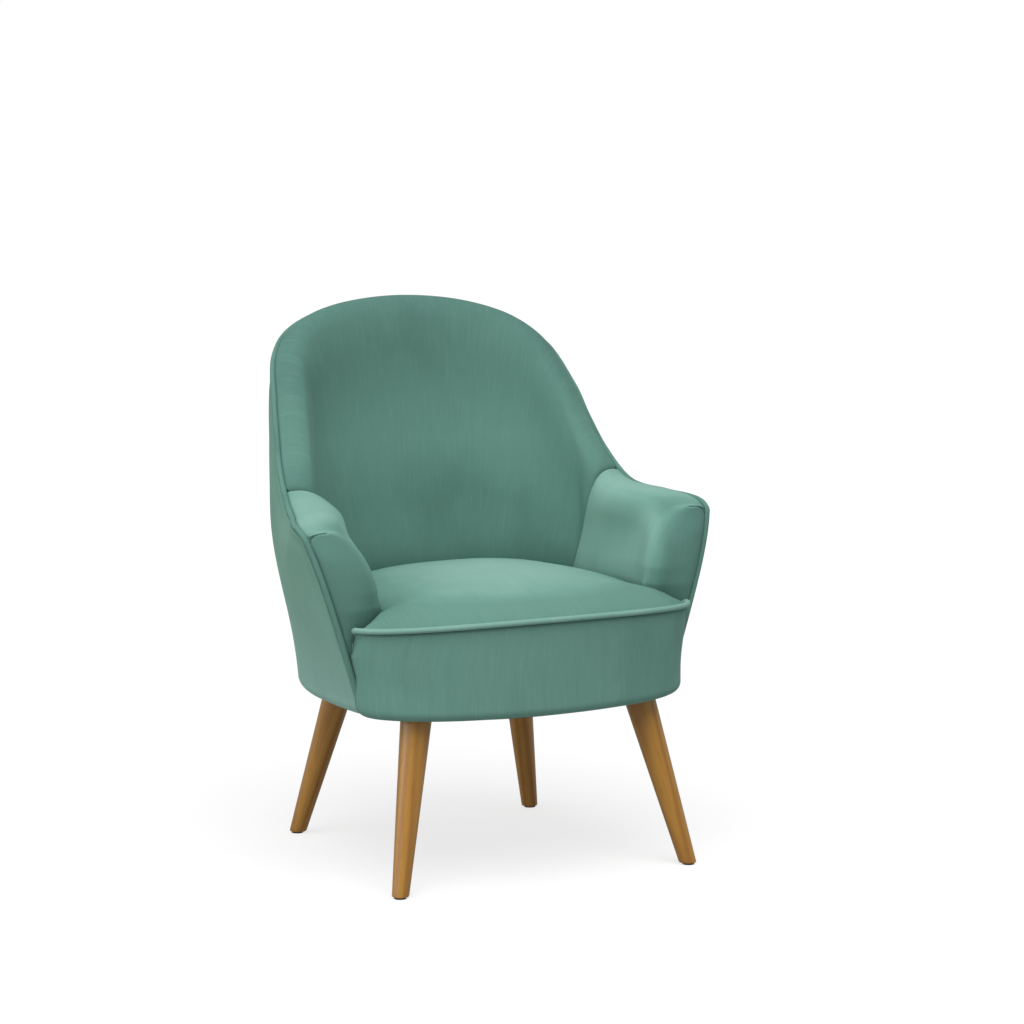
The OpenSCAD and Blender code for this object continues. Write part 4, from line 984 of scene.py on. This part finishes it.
face = bandGrid(0.0, 0.0)
front = closedGrid("front_band_cloth", face, bandGrid(band["thickness"], bandFill),
                   pairs(lengths(face[:, measuredRow])[:, None], face[..., 2]))
share = np.linspace(-1, 1, 700)
bandTop = bandPoint(share, pipingZ(seatHalf * np.sin(bandEnd * share)) - band["under"], 0.0)
# Share of the band and height
creaseShares = np.array([[0.935, 0.396], [0.955, 0.384], [0.975, 0.371], [0.992, 0.358]])
marks = fineCurve(creaseShares, 80)
crease = bandPoint(marks[:, 0], marks[:, 1], 0.0)
ends = np.concatenate([face[0], face[-1]])
near = distanceTo(front, np.concatenate([bandTop, ends]))
soften(front, band["lumpScale"], band["lumps"], 7.7, np.clip((near - 0.01) / 0.04, 0, 1))
creases = np.concatenate([crease, crease * [-1, 1, 1]])
push(front, -band["creaseDepth"] * bell(distanceTo(front, creases), band["creaseWidth"]))
# painted shade under the seat piping, at the band's ends and in its creases
seamShade(front, (bandTop, 0.007, 1.0), (bandTop, 0.025, 0.22), (ends, 0.006, 0.9), (creases, 0.009, 0.35))
# painted shade over the whole front band
paintLightAndShade(front, -band["paintedShade"])
finishPiece(front, velvetFront, "velvet", "seat_border")

# Piping: a covered cord along a path
piping = {
    "sides": 16, "spacing": 0.004, "waver": 0.00025, "waverScale": 90.0,
    "paintedShadeOnShell": 0.6, "standsOnSeat": 0.4,
    "tuckedEnd": ((0.0003, 0.003, -0.0004), (-0.0006, 0.006, -0.0016), (-0.0022, 0.008, -0.0035)),
}


def cordTree():
    tree = bpy.data.node_groups.new("pipedCord", "GeometryNodeTree")
    kinds = {"Path": "Geometry", "Radius": "Float", "Sides": "Int", "Spacing": "Float", "Waver": "Float",
             "Waver scale": "Float", "Cloth": "Material"}
    for label, kind in kinds.items():
        tree.interface.new_socket(label, in_out="INPUT", socket_type="NodeSocket" + kind)
    tree.interface.new_socket("Mesh", in_out="OUTPUT", socket_type="NodeSocketGeometry")
    given = tree.nodes.new("NodeGroupInput").outputs
    curve = add(tree, "GeometryNodeMeshToCurve", {"Mesh": given["Path"]}).outputs["Curve"]
    even = add(tree, "GeometryNodeResampleCurve", {"Curve": curve, "Length": given["Spacing"]}, mode="LENGTH")
    ring = add(tree, "GeometryNodeCurvePrimitiveCircle",
               {"Resolution": given["Sides"], "Radius": given["Radius"]})
    tube = add(tree, "GeometryNodeCurveToMesh", {
        "Curve": even.outputs["Curve"], "Profile Curve": ring.outputs["Curve"], "Fill Caps": True})
    wave = add(tree, "ShaderNodeTexNoise", {"Scale": given["Waver scale"]}).outputs["Color"]
    centred = add(tree, "ShaderNodeVectorMath", {0: wave, 1: (0.5, 0.5, 0.5)}, operation="SUBTRACT")
    shift = add(tree, "ShaderNodeVectorMath", {0: centred.outputs[0], "Scale": given["Waver"]},
                operation="SCALE")
    place = add(tree, "GeometryNodeSetPosition",
                {"Geometry": tube.outputs["Mesh"], "Offset": shift.outputs[0]})
    real = add(tree, "GeometryNodeRealizeInstances", {"Geometry": place.outputs["Geometry"]})
    smooth = add(tree, "GeometryNodeSetShadeSmooth", {"Geometry": real.outputs["Geometry"]})
    covered = add(tree, "GeometryNodeSetMaterial",
                  {"Geometry": smooth.outputs["Geometry"], "Material": given["Cloth"]})
    add(tree, "NodeGroupOutput", {"Mesh": covered.outputs["Geometry"]})
    return tree


pipedCord = cordTree()


def makeWithNodes(name, path, tree, values):
    mesh = bpy.data.meshes.new(name)
    mesh.from_pydata([tuple(p) for p in path], [(i, i + 1) for i in range(len(path) - 1)], [])
    obj = bpy.data.objects.new(name, mesh)
    scene.collection.objects.link(obj)
    m = obj.modifiers.new("nodes", "NODES")
    m.node_group = tree
    for item in tree.interface.items_tree:
        if item.in_out == "INPUT" and item.name in values:
            m[item.identifier] = values[item.name]
    applyModifiers(obj)
    return obj


cordValues = {"Radius": cordR, "Sides": piping["sides"], "Spacing": piping["spacing"],
              "Waver": piping["waver"], "Waver scale": piping["waverScale"], "Cloth": velvetCord}
downFront = np.concatenate([lowerEdge(np.zeros(16), np.linspace(np.radians(84), 0, 16), cordR),
                            tub(np.zeros(60), np.linspace(wallZ, shell["armHeight"], 61)[1:], cordR)])
shellPath = np.concatenate([downFront, cordAlong(500)[1:-1], downFront[::-1] * [-1, 1, 1]])
shellPiping = makeWithNodes("shell_piping_cord", shellPath, pipedCord, cordValues)
turnsAlong = np.linspace(-bowEnd, bowEnd, 240)
seatX = seatHalf * np.sin(turnsAlong)
seatPath = points(seatX, frontY - shell["seatBow"] * np.cos(turnsAlong), pipingZ(seatX))
tucked = seatPath[-1] + np.array(piping["tuckedEnd"])
seatPath = np.concatenate([tucked[::-1] * [-1, 1, 1], seatPath, tucked])
seatPiping = makeWithNodes("seat_piping_cord", seatPath, pipedCord, cordValues)
# painted shade on the shell piping, painted light on the seat piping
for obj, node, lifted in ((shellPiping, "shell_piping", -piping["paintedShadeOnShell"]),
                          (seatPiping, "seat_piping", piping["standsOnSeat"])):
    paint(obj, "seam", np.zeros(len(obj.data.vertices)))
    paintLightAndShade(obj, lifted)
    finishPiece(obj, velvetCord, "velvet_piping", node)

# Legs: turned tapers along a splayed axis, level at both ends
legs = {
    "frontIn": (0.0885, 0.098), "backIn": (0.125, 0.0857), "splayX": 0.056, "splayY": 0.060,
    "footD": 0.0254, "topD": 0.0478, "glide": 0.0025, "sides": 48, "rings": 40, "edge": 0.0022,
    "edgeTurns": 5,
}
legTop = shell["baseHeight"] + shell["cloth"]
baseHalf = shell["baseWidth"] / 2
frontFoot = np.array([baseHalf - legs["frontIn"][0] + legs["splayX"],
                      seatFrontY + legs["frontIn"][1] - legs["splayY"]])
backFoot = np.array([baseHalf - legs["backIn"][0] + legs["splayX"],
                     backY - shell["backRake"] - legs["backIn"][1] + legs["splayY"]])


def legPiece(name, foot, side, away):
    axis = np.array([-side * legs["splayX"], -away * legs["splayY"], legTop])
    length = float(np.linalg.norm(axis))
    axis = axis / length
    origin = np.array([side * foot[0], foot[1], 0.0])
    across = unit(np.cross([0, 0, 1.0], axis))
    other = np.cross(axis, across)
    taper = (legs["topD"] - legs["footD"]) / 2 / length
    phi = 2 * np.pi * np.arange(legs["sides"]) / legs["sides"]
    radial = np.cos(phi)[:, None] * across + np.sin(phi)[:, None] * other

    def onCone(z, inset=0.0):  # points of the cone at a level height
        s = np.full(len(phi), z / axis[2])
        for _ in range(12):
            r = legs["footD"] / 2 + taper * s - inset
            s = (z - radial[:, 2] * r) / axis[2]
        r = legs["footD"] / 2 + taper * s - inset
        return origin + axis * s[:, None] + radial * r[:, None]

    rings = []
    for k in range(legs["edgeTurns"] + 1):
        t = np.pi / 2 * k / legs["edgeTurns"]
        low = legs["glide"] + legs["edge"] * (1 - math.cos(t))
        rings.append(onCone(low, legs["edge"] * (1 - math.sin(t))))
    for z in np.linspace(legs["glide"] + legs["edge"], legTop, legs["rings"])[1:]:
        rings.append(onCone(z))
    verts = np.concatenate(rings + [[rings[0].mean(0)], [rings[-1].mean(0)]])
    n, count = legs["sides"], len(rings)
    faces = [(i * n + j, i * n + (j + 1) % n, (i + 1) * n + (j + 1) % n, (i + 1) * n + j)
             for i in range(count - 1) for j in range(n)]
    low, high = count * n, count * n + 1
    faces += [(low, (j + 1) % n, j) for j in range(n)]
    faces += [(high, (count - 1) * n + j, (count - 1) * n + (j + 1) % n) for j in range(n)]
    obj = newMesh(name, verts, faces)
    faceOut(obj)
    local = verts - origin
    grain = np.stack([local @ across + 0.31 * side, local @ other + 0.17 * away, local @ axis], axis=-1)
    layer = obj.data.attributes.new("grain", "FLOAT_VECTOR", "POINT")
    layer.data.foreach_set("vector", grain.astype(np.float32).ravel())
    return obj


for name, foot, side, away in (("front_right", frontFoot, 1, -1), ("front_left", frontFoot, -1, -1),
                               ("back_right", backFoot, 1, 1), ("back_left", backFoot, -1, 1)):
    finishPiece(legPiece("turned_leg_" + name, foot, side, away), legWood, "leg_wood", "leg_" + name)

# Dust cover: thin black cloth stapled under the rails and cut round for the legs
dustCover = {
    "thickness": 0.0009, "sag": 0.003, "reach": 0.05, "spacing": 0.009, "inside": 0.002, "below": 0.0001,
    "holeD": 0.0518, "holeSides": 40, "lumps": 0.0006, "lumpScale": 11.0, "clear": 0.6,
}


def bowAt(t, inset):
    half, bow = besidePiping(bandWallZ), shell["seatBow"] - cordR / 2
    return np.stack([(half - inset) * np.sin(t), frontY - (bow - inset) * np.cos(t)], axis=-1)


def evenly(line, spacing):
    along = lengths(line)
    at = np.linspace(0, along[-1], int(along[-1] / spacing) + 1)
    return np.stack([np.interp(at, along, line[:, k]) for k in (0, 1)], axis=-1)


def insideOf(p, ring):  # whether flat points lie within a closed line
    a, b = ring[None], np.roll(ring, -1, axis=0)[None]
    x, y = p[:, :1], p[:, 1:2]
    crosses = (a[..., 1] > y) != (b[..., 1] > y)
    at = a[..., 0] + (y - a[..., 1]) * (b[..., 0] - a[..., 0]) / np.where(crosses, b[..., 1] - a[..., 1], 1)
    return (crosses & (x < at)).sum(axis=1) % 2 == 1


run = np.linspace(0, 1, 200)
behind = (plan(run) - outward(run) * (shell["baseEdge"] + dustCover["inside"]))[:, :2]
hem = np.concatenate([bowAt(np.linspace(-np.pi / 2, np.pi / 2, 120), bandEdge + dustCover["inside"]), behind])
hem = evenly(np.concatenate([hem, hem[:1]]), dustCover["spacing"])[:-1]
turn = 2 * np.pi * np.arange(dustCover["holeSides"]) / dustCover["holeSides"]
circle = dustCover["holeD"] / 2 * np.stack([np.cos(turn), np.sin(turn)], axis=-1)
legPlaces = [(frontFoot - [legs["splayX"], -legs["splayY"]]) * [side, 1] for side in (1, -1)]
legPlaces += [(backFoot - [legs["splayX"], legs["splayY"]]) * [side, 1] for side in (1, -1)]
holes = [circle + place for place in legPlaces]
sideways = np.arange(-0.3, 0.3, dustCover["spacing"])
deep = np.arange(-0.32, 0.24, dustCover["spacing"])
rows = np.stack(np.meshgrid(sideways, deep), axis=-1).reshape(-1, 2)
edges = np.concatenate([hem] + holes)
fromEdge = np.linalg.norm(rows[:, None] - edges[None], axis=-1).min(axis=1)
clear = fromEdge > dustCover["spacing"] * dustCover["clear"]
rows = rows[clear & insideOf(rows, hem) & ~np.any([insideOf(rows, ring) for ring in holes], axis=0)]
flat = np.concatenate([edges, rows])
bounds, first = [], 0
for ring in [hem] + holes:
    bounds += [(first + i, first + (i + 1) % len(ring)) for i in range(len(ring))]
    first += len(ring)
flatPoints, _, triangles = delaunay_2d_cdt([Vector(q) for q in flat], bounds, [], 0, 1e-6)[:3]
flatPoints = np.array([list(q) for q in flatPoints])
triangles = np.array([list(t) for t in triangles])
middle = flatPoints[triangles].mean(axis=1)
inHole = np.any([insideOf(middle, ring) for ring in holes], axis=0)
triangles = triangles[insideOf(middle, hem) & ~inHole]
fromEdge = np.linalg.norm(flatPoints[:, None] - edges[None], axis=-1).min(axis=1)
drop = dustCover["sag"] * ease(fromEdge / dustCover["reach"])
clothZ = shell["baseHeight"] - dustCover["below"] - drop
dust = newMesh("dust_cover_cloth", points(flatPoints[:, 0], flatPoints[:, 1], clothZ), triangles[:, ::-1])
layer = dust.modifiers.new("cloth", "SOLIDIFY")
layer.thickness, layer.offset = dustCover["thickness"], 1.0
applyModifiers(dust)
soften(dust, dustCover["lumpScale"], dustCover["lumps"], 3.3, np.ones(len(dust.data.vertices)))
finishPiece(dust, ofSlot["dust_cloth"], "dust_cloth", "dust_cover")

# Floor, light and camera
studio = {
    "floor": 0.28, "floorHalf": 60, "floorRough": 0.9, "floorGlow": 0.74, "floorLightGlow": 0.14,
    "key": 2.3, "keyFrom": (-0.15, -0.40, 0.90), "keySpread": 50,
    "side": 1.1, "sideFrom": (-0.95, 0.05, 0.15), "sideSpread": 60, "ambient": 0.36, "mirrored": 0.5,
}
far = studio["floorHalf"]
floor = newMesh("floor", [(-far, -far, 0), (far, -far, 0), (far, far, 0), (-far, far, 0)], [(0, 1, 2, 3)],
                smooth=False)
floorMat = bpy.data.materials.new("paleFloor")
floorMat.use_nodes = True
nt = floorMat.node_tree
rays = add(nt, "ShaderNodeLightPath").outputs
# the floor also glows a little for all rays, a painted glow that lights the chair from below
glow = maths(nt, "MAXIMUM", times(nt, rays["Is Camera Ray"], studio["floorGlow"]), studio["floorLightGlow"])
plain = {"Base Color": (studio["floor"],) * 3 + (1,), "Roughness": studio["floorRough"],
         "Specular IOR Level": 0.0, "Emission Color": (1, 1, 1, 1), "Emission Strength": glow}
for label, value in plain.items():
    feed(nt, nt.nodes["Principled BSDF"].inputs[label], value)
floor.data.materials.append(floorMat)

world = bpy.data.worlds.new("studio")
scene.world = world
world.use_nodes = True
nt = world.node_tree
backdrop = nt.nodes["Background"].inputs
rays = add(nt, "ShaderNodeLightPath").outputs
seen = maths(nt, "MAXIMUM", rays["Is Camera Ray"], rays["Is Transmission Ray"])
seen = maths(nt, "MAXIMUM", seen, times(nt, rays["Is Glossy Ray"], studio["mirrored"]))
feed(nt, backdrop["Color"], (1, 1, 1, 1))
feed(nt, backdrop["Strength"], maths(nt, "MAXIMUM", seen, studio["ambient"]))


def sun(name, direction, strength, angle):
    lamp = bpy.data.lights.new(name, "SUN")
    lamp.energy = strength
    lamp.angle = math.radians(angle)
    obj = bpy.data.objects.new(name, lamp)
    scene.collection.objects.link(obj)
    obj.rotation_euler = Vector(direction).to_track_quat("Z", "Y").to_euler()


sun("keyLight", studio["keyFrom"], studio["key"], studio["keySpread"])
sun("sideLight", studio["sideFrom"], studio["side"], studio["sideSpread"])

camera = bpy.data.objects.new("camera", bpy.data.cameras.new("camera"))
scene.collection.objects.link(camera)
view = {"azimuth": -26.376, "elevation": 8.296, "turn": -0.12, "place": (-2.5906, -5.3725, 1.3952),
        "sensor": 36, "lens": 137.37}
az, el = math.radians(view["azimuth"]), math.radians(view["elevation"])
toBack = Vector((math.sin(az) * math.cos(el), -math.cos(az) * math.cos(el), math.sin(el)))
toRight = Vector((math.cos(az), math.sin(az), 0))
toUp = toBack.cross(toRight)
turned = Matrix.Rotation(math.radians(view["turn"]), 4, "Z")
camera.matrix_world = Matrix([*zip(toRight, toUp, toBack, view["place"]), (0, 0, 0, 1)]) @ turned
camera.data.sensor_width = view["sensor"]
camera.data.lens = view["lens"]
scene.camera = camera
scene.view_settings.view_transform = "Standard"
print("stage ready")
